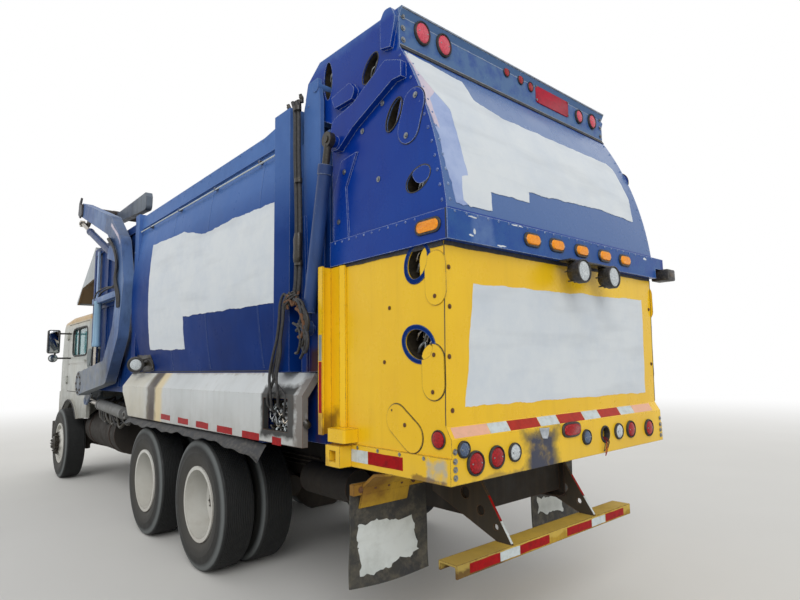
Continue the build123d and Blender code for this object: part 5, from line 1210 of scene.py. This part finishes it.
FLAP_THICK, CELLS = 0.0105, 16
FLAP_PATCHES = {1: [(0.93, 0.43), (0.69, 0.4), (0.21, 0.43), (0.12, 0.8), (0.57, 0.88), (0.88, 0.91)],
                -1: [(0.12, 0.6), (0.66, 0.7), (0.64, 0.88), (0.11, 0.8)]}
for _, s in SIDES:
    grid = [(i / CELLS, j / CELLS) for j in range(CELLS + 1) for i in range(CELLS + 1)]
    verts = [flap_point(s, u, v, h) for h in (0.0, FLAP_THICK) for u, v in grid]
    rubber.mesh(verts, sheet_faces(CELLS, CELLS), FLAP)
    skin(rubber, FLAP_WHITE, FLAP_PATCHES[s], lambda u, v, h, s=s: flap_point(s, u, v, FLAP_THICK + h),
         0.001, 0.0625, 0.05, 6.0 + s, 0.03)
rubber.done("rubber_fenders_and_flaps")
flap_bolts = [((s * (0.58 + 0.1 * k), 3.7905, 0.93), (0, 1, 0)) for _, s in SIDES for k in range(6)]
hanger_bolts = [((s * 0.4485, 3.78 + 0.09 * k, 0.93), (s, 0, 0)) for _, s in SIDES for k in range(4)]
fasten("flap_and_hanger_bolts", "chassis", flap_bolts + hanger_bolts, RUST, 0.012, 0.009)

# Hoses run down behind the body's rear post, tied at three heights, to the valve in the skirt
DROP_HOSES = ((-0.004, 0.01, 0.0125, 2.915, 1.345), (0.01, -0.012, 0.0115, 2.975, 1.315),
              (0.004, 0.03, 0.0105, 3.06, 1.34), (-0.008, -0.006, 0.0095, 3.13, 1.3))
VALVE_NUT = [(0.02, 0.0), (0.02, 0.016), (0.015, 0.018), (0.015, 0.034), (0.017, 0.036), (0.0165, 0.05),
             (0.0, 0.052)]
CLOTH_JOINT = [(0.0, 0.0), (0.03, 0.01), (0.036, 0.04), (0.034, 0.1), (0.037, 0.16), (0.028, 0.2),
               (0.0, 0.205)]
SLEEVE = [(0.0, 0.0)] + [p for k in range(9) for p in ((0.02, 0.008 * k), (0.0235, 0.008 * k + 0.004))]
SLEEVE += [(0.018, 0.074), (0.0, 0.076)]
lines = Piece("valve_hoses", "chassis", "black_rubber", smooth=60)
for _, s in SIDES:
    for dx, dy, r, end_y, end_z in DROP_HOSES:
        x, y = 1.188 + dx, 3.268 + dy
        if dy < 0.02:
            side_tube(lines, HOSE_RUBBER, s, [
                (x, y - 0.03, 3.396), (x, y, 3.3), (x + 0.004, y + 0.012, 3.0), (x - 0.003, y + 0.02, 2.6),
                (x, y + 0.022, 2.25), (x + 0.004, y + 0.01, 2.1), (x + 0.01, y - 0.04, 2.04)], r * 1.15,
                10, 6)
        side_tube(lines, HOSE_RUBBER, s, [
            (x + 0.01, y - 0.04, 2.04), (x + 0.026, y - 0.085, 2.085 + dx), (x + 0.036, 3.15 + dy, 2.03),
            (x + 0.036, 3.138 + dy, 1.92), (x + 0.034, 3.105 + dy, 1.8), (x + 0.034, 3.07 + dy * 2, 1.7),
            (x + 0.032, 3.02 + dy * 2, 1.56), (x + 0.024, end_y + 0.025, 1.44), (1.195, end_y, end_z + 0.03),
            (1.16, end_y, end_z)], r * 0.85, 10, 6)
        lathe(lines, ZINC_AND_PAINTED_HIGHLIGHT, (s * 1.128, end_y, end_z), (s, 0, 0), VALVE_NUT, 6)
    for z, y in ((3.32, 3.272), (2.82, 3.286), (2.27, 3.292)):
        lathe(lines, GREASE_AND_PAINTED_SHADE, (s * 1.19, y, z), (0, 0, 1),
              [(0.034, 0.0), (0.034, 0.03), (0.031, 0.03), (0.031, 0.0)], 24, (0.72, 1.0), closed=True)
    # Cloth-wound joint where the hoses turn forward
    lathe(lines, GREASE_AND_PAINTED_SHADE, (s * 1.2, 3.295, 2.28), (0, 0.03, 1), CLOTH_JOINT, 16, (0.7, 1.0))
    for k in range(7):
        a = 0.9 * k
        side_tube(lines, OILY if k % 3 else RUST, s, [
            (1.205 + 0.004 * k, 3.2 + 0.02 * sin(a), 2.02 + 0.03 * cos(a)),
            (1.215 + 0.003 * k, 3.24 + 0.03 * cos(a), 2.07 + 0.03 * sin(a)),
            (1.21 + 0.003 * k, 3.29, 2.05 + 0.04 * sin(2 * a)), (1.196, 3.31, 1.98 + 0.02 * k)], 0.008, 8, 5)
    # Spare hoses, straps and old oil hang outside the foot of the tailgate cylinder
    for k, finish in enumerate((OILY, SEALANT_AND_PAINTED_SHADOW, OILY, RUST, OILY, SEALANT_AND_PAINTED_SHADOW, OILY, OILY, OILY)):
        p, q = 3.43 + 0.045 * sin(1.1 * k), 1.87 + 0.085 * cos(2.3 * (1.1 * k))
        side_tube(lines, finish, s, [
            (1.247, p - 0.06, q + 0.09), (1.252 + 0.003 * (k % 4), p + 0.01, q + 0.06),
            (1.256 + 0.002 * (k % 3), p + 0.045, q - 0.02), (1.252, p + 0.01, q - 0.09),
            (1.247, p - 0.03, q - 0.05 - 0.012 * k)], 0.009 + 0.002 * (k % 2), 8, 5)
    # Valve block bolted to the body behind the opening, with spare ports plugged
    side_block(lines, GREASE_AND_PAINTED_SHADE, s, (1.088, 1.126), (2.864, 3.25), (1.205, 1.4), 0.004)
    for k in range(26):
        y, z = 2.885 + 0.0135 * k, 1.3 + 0.085 * sin(2.4 * k)
        side_tube(lines, (ZINC_AND_PAINTED_HIGHLIGHT, OLD_CHROME, GREASE_AND_PAINTED_SHADE, WHITE_TAPE)[k % 4], s, [
            (1.128, y - 0.02, z), (1.158 + 0.012 * sin(k), y, z + 0.02 * cos(3 * k)),
            (1.15 + 0.014 * cos(2 * k), y + 0.02, z - 0.026), (1.13, y + 0.03, z + 0.012)],
            0.0048 + 0.0012 * (k % 3), 7, 4)
    for y, z, r in ((2.91, 1.265, 0.017), (2.97, 1.255, 0.021), (3.045, 1.262, 0.017), (3.11, 1.252, 0.021),
                    (3.155, 1.36, 0.014), (2.96, 1.375, 0.012)):
        plug_outline = [(r, 0.0), (r, 0.016), (r * 0.85, 0.019), (r * 0.7, 0.02), (r * 0.7, 0.032),
                        (r * 0.4, 0.034)]
        lathe(lines, ZINC_AND_PAINTED_HIGHLIGHT, (s * 1.129, y, z), (s, 0, 0), plug_outline + [(0, 0.035)], 6)
    # Corrugated sleeve at the skirt's rear end and the fittings near the tailgate hinge
    lathe(lines, GREASE_AND_PAINTED_SHADE, (s * 1.172, 3.338, 1.29), (0.1 * s, 0.5, -0.2), SLEEVE, 16)
    for y, z in ((3.1, 3.44), (3.232, 3.424), (3.262, 3.452)):
        lathe(lines, GREASE_AND_PAINTED_SHADE, (s * 1.15, y, z - 0.03), (s * 0.5, 0.1, 1),
              [(0.016, 0), (0.016, 0.018), (0.012, 0.02), (0.012, 0.032), (0.0, 0.034)], 6)
        lathe(lines, OILY, (s * 1.15, y, z - 0.055), (0, 0, 1), [(0.013, 0), (0.013, 0.03), (0.0, 0.031)],
              12)
lines.done("hydraulic_hoses")

# Body sides: panel joints, the thin white rod under the rail, a work lamp on the front post
SIDE_BOWL = [(0.0, 0.0), (0.05, 0.004), (0.078, 0.03), (0.085, 0.052), (0.085, 0.066), (0.068, 0.07),
             (0.056, 0.064), (0.0, 0.06)]
sides = Piece("body_side_trim", "chassis", "blue_body_paint")
for _, s in SIDES:
    for y in (0.825, 1.71, 2.66):
        skin(sides, BODY_ENAMEL, oblong(y - 0.009, y + 0.009, 1.62, 3.205), on_wall(s), 0.0022, 0.1)
    rod = ((-0.23, 3.178), (0.4, 3.172), (1.3, 3.164), (2.2, 3.159), (2.955, 3.152))
    side_tube(sides, WHITE_TAPE, s, [(1.128, y, z) for y, z in rod], 0.0065, 10, 4)
    for y in (0.1, 0.95, 1.8, 2.62):
        side_block(sides, WORN_STEEL, s, (1.085, 1.136), (y - 0.012, y + 0.012), (3.157, 3.185), 0.003)
    # Work lamp looks back along the skirt from a bracket on the front post
    spot, aim = (s * 1.19, -0.03, 1.68), (s * 0.35, 0.93, -0.05)
    lathe(sides, LAMP_HOUSING, spot, aim, SIDE_BOWL)
    lathe(sides, WHITE_LENS, spot, aim, [(0.056, 0.0645), (0.05, 0.067), (0.03, 0.071), (0.0, 0.073)])
    side_block(sides, LAMP_HOUSING, s, (1.085, 1.185), (-0.06, -0.025), (1.655, 1.7), 0.003)
    skin(sides, GREASE_AND_PAINTED_SHADE, [(-0.235, 1.612), (0.25, 1.606), (0.28, 1.66), (0.21, 1.77), (-0.235, 1.79)],
         on_wall(s),
         0.004, 0.1, 0.012, 5.1)
    side_tube(sides, OILY, s, [(1.16, -0.03, 1.69), (1.13, 0.1, 1.735), (1.11, 0.22, 1.7),
                               (1.12, 0.28, 1.63),
                               (1.15, 0.12, 1.6), (1.18, -0.15, 1.585)], 0.01, 8, 5)
    # Seam between side wall and knee, filled with old sealant
    relief(sides, SEALANT_AND_PAINTED_SHADOW, oblong(s * -0.235, s * 2.955, 1.594, 1.603), (s * 1.0895, 0, 0), (s, 0, 0),
           0.0, 0.003, 0.001)
sides.done()
posts = []
for _, s in SIDES:
    posts += [((s * 1.1502, -0.345, z), (s, 0, 0), 0.9) for z in (1.75, 2.15, 2.55, 2.95, 3.28)]
    posts += [((s * 1.1122, -0.15 + 0.2 * k, 3.335), (s, 0, 0), 0.7) for k in range(16)]
posts += [((s * 1.1424, 3.335, 3.345), (s, 0, 0), 0.6) for _, s in SIDES]
fasten("body_bolts", "chassis", posts, BODY_ENAMEL, 0.0115, 0.008)


# Cab front: window rubber, wipers, head lamps, steps, roof markers and arch lips
def screen_at(x, z, h):
    slope = 0.105 / 0.62
    return Vector((x, -4.59 + (z - 1.73) * slope - h, z))


def frame_ring(piece, finish, rx, rz, cx, cz, width, place, height, square=9):
    """A rubber section laid round a window opening."""
    path = [place(x, z, height) for x, z in ellipse(rx, rz, cx, cz, count=56, square=square)]
    out = (place(cx, cz, height + 0.01) - place(cx, cz, height)).normalized()
    n = len(path)
    verts, faces = [], []
    for i, p in enumerate(path):
        flank = (path[(i + 1) % n] - path[i - 1]).normalized().cross(out).normalized()
        for a in range(6):
            t = 2 * pi * a / 6
            verts.append(p + flank * (cos(t) * width) + out * (sin(t) * width * 0.7))
            j, b = (i + 1) % n, (a + 1) % 6
            faces.append([i * 6 + a, i * 6 + b, j * 6 + b, j * 6 + a])
    piece.mesh(verts, faces, finish)


NOSE_Y, LAMP_Z, LAMP_R = -4.606, 1.035, 0.058
fittings = Piece("cab_rubbers_and_lamps", "chassis", "black_rubber", smooth=50)
frame_ring(fittings, RUBBER, 0.958, 0.263, 0, 2.045, 0.016, screen_at, -0.01)
for k in (-1, 1):
    # Wiper: spindle, arm, blade
    base, tip = screen_at(k * 0.42, 1.765, 0.006), screen_at(k * 0.1, 1.9, 0.02)
    lathe(fittings, CAB_PLASTIC, base, (0, -1, 0.17),
          [(0.018, -0.01), (0.018, 0.01), (0.01, 0.018), (0, 0.019)], 16)
    arm = [base + Vector((0, -0.012, 0)), (base + tip) / 2 + Vector((0, -0.012, 0.01)), tip]
    tube(fittings, CAB_PLASTIC, arm, 0.006, 8, 5)
    blade = [screen_at(k * 0.3, 1.815, 0.01), screen_at(k * 0.1, 1.9, 0.012),
             screen_at(k * -0.08, 1.985, 0.01)]
    tube(fittings, RUBBER, blade, 0.006, 8, 4)
    # Head lamps: dark surround, reflector bowl, lens
    x, nose = k * 0.845, (0, NOSE_Y, 0)
    outer, inner = [ellipse(rx, rz, x, LAMP_Z, square=6) for rx, rz in ((0.098, 0.086), (0.083, 0.071))]
    relief(fittings, LAMP_HOUSING, outer, nose, (0, -1, 0), -0.004, 0.006, 0.003, hole=inner)
    r = LAMP_R
    lathe(fittings, ZINC_AND_PAINTED_HIGHLIGHT, (-x, NOSE_Y, LAMP_Z), (0, -1, 0),
          [(r + 0.008, 0.0), (r + 0.007, 0.005), (r, 0.006), (r, 0.001)])
    lathe(fittings, WHITE_LENS, (-x, NOSE_Y, LAMP_Z), (0, -1, 0),
          [(r, 0.001), (r * 0.96, 0.006), (r * 0.5, 0.01), (0, 0.011)])
    relief(fittings, AMBER_LENS, ellipse(0.024, 0.06, k * 0.9725, LAMP_Z, square=6), (0, -4.604, 0),
           (0, -1, 0),
           -0.002, 0.006, 0.003)
    # Step into the cab ahead of the wheel, mud-caked
    side_block(fittings, WORN_STEEL, k, (0.99, 1.075), (-4.585, -4.5), (0.87, 0.89), 0.004)
# Roof marker lamps stand in a row over the windscreen
for x in (-0.78, -0.17, 0.0, 0.17, 0.78):
    block(fittings, AMBER_LENS, (x - 0.045, -4.1, 2.466), (x + 0.045, -4.05, 2.479), 0.006)
# Rubber lips round the wheel arches, each in a rear and a front half
ARCH_X, ARCH_R = 1.0935, 0.65
for _, s in SIDES:
    for first in (38, 93):
        angles = [radians(first + 5 * k) for k in range(11)]
        lip = [(s * ARCH_X, FRONT_Y + ARCH_R * cos(a), AXLE_Z + ARCH_R * sin(a)) for a in angles]
        tube(fittings, FENDER_RUBBER, lip, 0.011, 8, 3)
fittings.done()
grille_bolts = [((k * 0.575, -4.6065, z), (0, -1, 0), 0.6) for k in (-1, 1)
                for z in (0.92, 1.04, 1.16, 1.28, 1.41)]
fasten("cab_bolts", "chassis", grille_bolts, ZINC_AND_PAINTED_HIGHLIGHT, 0.012, 0.008)

PULL = ((1.071, -2.925, 1.625), (1.086, -2.905, 1.627), (1.088, -2.86, 1.627), (1.086, -2.815, 1.627),
        (1.071, -2.795, 1.625))
for side_name, s in SIDES:
    door = Piece(f"door_furniture_{side_name}", f"door_{side_name}", "black_rubber", smooth=50)
    frame_ring(door, RUBBER, 0.468, 0.213, -3.27, 2.065, 0.015, on_x(s * 1.0705), 0.0, square=7)
    # Divider between drop glass and quarter light
    side_block(door, CAB_PLASTIC, s, (1.04, 1.066), (-3.42, -3.4), (1.856, 2.274), 0.003)
    # Door pull in its cup, key button
    relief(door, LAMP_HOUSING, ellipse(0.075, 0.026, s * -2.86, 1.62, square=4), (s * 1.07, 0, 0), (s, 0, 0),
           -0.001, 0.003, 0.001)
    side_tube(door, CAB_PLASTIC, s, PULL, 0.009, 8, 4)
    lathe(door, ZINC_AND_PAINTED_HIGHLIGHT, (s * 1.07, -2.86, 1.575), (s, 0, 0), [(0.012, 0), (0.012, 0.003), (0, 0.004)], 16)
    # Mirror faces look back along the truck
    relief(door, MIRROR_GLASS, ellipse(0.07, 0.172, -s * 1.315, 2.085, square=7), (0, -3.855, 0), (0, 1, 0),
           -0.002, 0.0022, 0.001)
    lathe(door, MIRROR_GLASS, (s * 1.315, -3.8653, 1.825), (0, 1, 0),
          [(0.054, -0.002), (0.054, 0.001), (0.03, 0.0035), (0, 0.0042)])
    door.done()

# Hopper sides: clamps of the intake drum on the left, a light post and the rail's pipes
gear = Piece("hopper_side_fittings", "chassis", "frame_paint")
for _, s in SIDES:
    if s > 0:
        lathe(gear, RUBBER, (1.01, -2.462, 1.79), (1, 0, 0),
              [(0.1405, 0.0), (0.1435, 0.004), (0.1435, 0.016), (0.1405, 0.02)], 48, closed=True)
        lathe(gear, ZINC_AND_PAINTED_HIGHLIGHT, (1.085, -2.462, 1.79), (1, 0, 0),
              [(0.1405, 0.0), (0.1425, 0.002), (0.1425, 0.014), (0.1405, 0.016)], 48, closed=True)
    # Light post in front of the hopper's rib
    side_block(gear, POST_BLUE, s, (1.1, 1.122), (-2.21, -2.1), (1.8, 3.28), 0.006)
    side_block(gear, POST_BLUE, s, (1.1, 1.124), (-2.105, -1.0), (2.5, 2.56), 0.006)
    # Hydraulic pipes clipped along the chassis rail
    for z in (0.8, 0.8 + 0.035, 0.8 + 0.07):
        side_tube(gear, WORN_STEEL, s, [(0.4415, y, z) for y in (-2.2, -1.0, 0.0, 1.0, 2.4)], 0.0085, 8, 3)
gear.done()

# Oily hoses and cables hang between the hub, the frame and the front wheel
mess = Piece("hanging_frame_hoses", "chassis", "black_rubber", smooth=60)
for _, s in SIDES:
    for k in range(14):
        a, y0 = 1.7 * k, -2.3 + 0.085 * k
        side_tube(mess, (HOSE_RUBBER, GREASE_AND_PAINTED_SHADE, RUBBER, GREASE_AND_PAINTED_SHADE)[k % 4], s, [
            (0.8 + 0.02 * (k % 5), y0, 1.235 + 0.02 * sin(a)),
            (0.97 + 0.012 * (k % 4), y0 + 0.05, 1.2 - 0.03 * (k % 3)),
            (1.02 + 0.01 * sin(a), y0 + 0.14, 1.06 - 0.035 * (k % 4)),
            (1.0 + 0.015 * cos(a), y0 + 0.26, 1.0 - 0.03 * (k % 3)),
            (0.93 + 0.02 * sin(2 * a), y0 + 0.34, 1.1), (0.8, y0 + 0.38, 1.19)], 0.011 + 0.004 * (k % 3), 8,
            5)
mess.done()

# Arms: hoses from the hub to the tilt cylinder, a guide cylinder with its rod and yellow tag
HUB_X, HUB_Y, HUB_Z = 1.25, -2.4, 1.45
GUIDE_BARREL = [(0.0, 0.0), (0.042, 0.0), (0.05, 0.006), (0.05, 0.05), (0.045, 0.056), (0.045, 0.56),
                (0.05, 0.566), (0.05, 0.6), (0.0, 0.604)]
arm_gear = Piece("arm_hoses_and_cylinder", "arms", "light_blue_arm_paint", smooth=50)
for _, s in SIDES:
    x = s * 1.19
    # Guide cylinder stands on the arm's lower limb and hangs from a cross bar
    side_block(arm_gear, ARM_ENAMEL, s, (1.15, 1.215), (-1.99, -0.62), (2.5, 2.575), 0.008)
    lathe(arm_gear, SKY_ENAMEL, (x, -1.78, 1.93), (0, 0.02, 1), GUIDE_BARREL, 28)
    lathe(arm_gear, OLD_CHROME, (x, -1.786, 1.62), (0, 0.02, 1),
          [(0.0, 0.0), (0.026, 0.0), (0.026, 0.315), (0.0, 0.316)], 20)
    side_block(arm_gear, WORN_STEEL, s, (1.14, 1.24), (-1.86, -1.71), (1.575, 1.68), 0.012)
    lathe(arm_gear, ZINC_AND_PAINTED_HIGHLIGHT, (s * 1.2402, -1.785, 1.635), (s, 0, 0),
          [(0.022, 0.0), (0.022, 0.004), (0.018, 0.007), (0, 0.008)], 20)
    side_block(arm_gear, TAG_YELLOW, s, (1.2385, 1.243), (-1.835, -1.795), (1.655, 1.672), 0.001)
    for k, r in enumerate((0.012, 0.01)):
        side_tube(arm_gear, HOSE_RUBBER, s, [
            (1.1275, -2.25 + 0.05 * k, 1.6), (1.142 + 0.03 * k, -2.05, 1.8),
            (1.15 + 0.04 * k, -1.9, 2.1),
            (1.15 + 0.05 * k, -1.93 + 0.03 * k, 2.4), (1.165 + 0.05 * k, -1.8, 2.62),
            (1.165 + 0.05 * k, -1.35, 2.66), (1.165 + 0.05 * k, -0.95, 2.64),
            (1.165 + 0.05 * k, -0.72, 2.78)],
            r, 10, 6)
    # Rubbed pink primer on the arm's rear corner
    skin(arm_gear, PRIMER_PINK, [(-1.02, 3.425), (-0.7, 3.235), (-0.6, 3.11), (-0.61, 3.09), (-0.72, 3.205),
                                 (-1.04, 3.395)], on_x(s * 1.25), jitter=0.014, seed=3.3 + s)
    # Hoses hang down the arm's rear limb in loose loops
    for k, r in enumerate((0.016, 0.013, 0.011)):
        side_tube(arm_gear, HOSE_RUBBER, s, [
            (1.262, -1.1 + 0.03 * k, 3.24), (1.272 + 0.01 * k, -0.98 + 0.05 * k, 3.18),
            (1.27 + 0.008 * k, -0.77 + 0.03 * k, 3.05), (1.266 + 0.008 * k, -0.66 + 0.03 * k, 2.85),
            (1.268 + 0.006 * k, -0.7 + 0.04 * k, 2.68), (1.264, -0.6 + 0.04 * k, 2.48),
            (1.258, -0.58 + 0.03 * k, 2.34)], r, 9, 6)
    # Dark seams round the hub drum
    for r in (0.15, 0.095):
        lathe(arm_gear, SEALANT_AND_PAINTED_SHADOW, (s * HUB_X, HUB_Y, HUB_Z), (s, 0, 0),
              [(r, -0.001), (r, 0.0016), (r - 0.008, 0.0016), (r - 0.008, -0.001)], 48, closed=True)
arm_gear.done()
hub_bolts = [((s * (HUB_X + 0.0002), p, q), (s, 0, 0)) for _, s in SIDES
             for p, q in bolt_circle(8, 0.122, HUB_Y, HUB_Z)]
fasten("arm_hub_bolts", "arms", hub_bolts, WORN_STEEL, 0.014, 0.01)

# Floor, backdrop and light: a pale studio sky, one broad soft lamp from the photographed side
floor = bpy.data.objects.new("floor", bpy.data.meshes.new("floor"))
bpy.context.scene.collection.objects.link(floor)
flat = bmesh.new()
for r0, r1 in ((0, 9), (9, 20), (20, 60), (60, 220)):
    rings = [[flat.verts.new((x, y, -0.0005)) for x, y in bolt_circle(48, r, 0, 0)]
             for r in ((r0, r1) if r0 else (r1,))]
    if r0:
        for k in range(48):
            n = (k + 1) % 48
            flat.faces.new([rings[0][k], rings[0][n], rings[1][n], rings[1][k]])
    else:
        flat.faces.new(rings[0])
bmesh.ops.remove_doubles(flat, verts=flat.verts[:], dist=0.001)
bmesh.ops.recalc_face_normals(flat, faces=flat.faces[:])
flat.to_mesh(floor.data)
flat.free()
# The floor fades to white far out, where the camera sees the sky meet it
paint = Finish("pale_studio_floor")
ground = paint.done(Base_Color=paint.mix(paint.noise(0.7, 5.0), "#CFCECA", "#D6D5D1"), Roughness=0.9)
white = paint.node("Emission", {"Color": "#FFFFFF", "Strength": 1.0})[0]
away = paint.vector("LENGTH", paint.place)["Value"]
fade = paint.node("MapRange", {"Value": away, "From Min": 7.0, "From Max": 24.0},
                  interpolation_type="SMOOTHSTEP")[0]
rays = paint.node("LightPath")
seen = paint.math("MAXIMUM", rays["Is Camera Ray"], rays["Is Glossy Ray"])
seen = paint.math("MULTIPLY", paint.math("MAXIMUM", seen, rays["Is Transmission Ray"]), fade)
lit = paint.tree.nodes["Principled BSDF"].outputs[0]
mixed = paint.node("MixShader", {0: seen, 1: lit, 2: white})[0]
paint.tree.links.new(mixed, paint.tree.nodes["Material Output"].inputs["Surface"])
floor.data.materials.append(ground)

world = bpy.data.worlds.new("overcast")
bpy.context.scene.world = world
world.use_nodes = True
tree = world.node_tree
rays = add(tree, "ShaderNodeLightPath").outputs
seen = rays["Is Camera Ray"]
for kind in ("Is Transmission Ray", "Is Glossy Ray"):
    seen = add(tree, "ShaderNodeMath", {0: seen, 1: rays[kind]}, operation="MAXIMUM").outputs[0]
level = add(tree, "ShaderNodeMapRange", {"Value": seen, "To Min": 0.7, "To Max": 1.0}).outputs[0]
plug(tree, tree.nodes["Background"], {"Strength": level, "Color": "#FFFFFF"})
for name, aim, power, angle in (("soft_key", (-0.55, -0.62, -0.56), 1.4, 40),
                                ("soft_fill", (0.75, 0.35, -0.35), 0.25, 60)):
    lamp = bpy.data.objects.new(name, bpy.data.lights.new(name, "SUN"))
    lamp.data.energy, lamp.data.angle = power, radians(angle)
    lamp.rotation_euler = Vector(aim).to_track_quat("-Z", "Y").to_euler()
    bpy.context.scene.collection.objects.link(lamp)
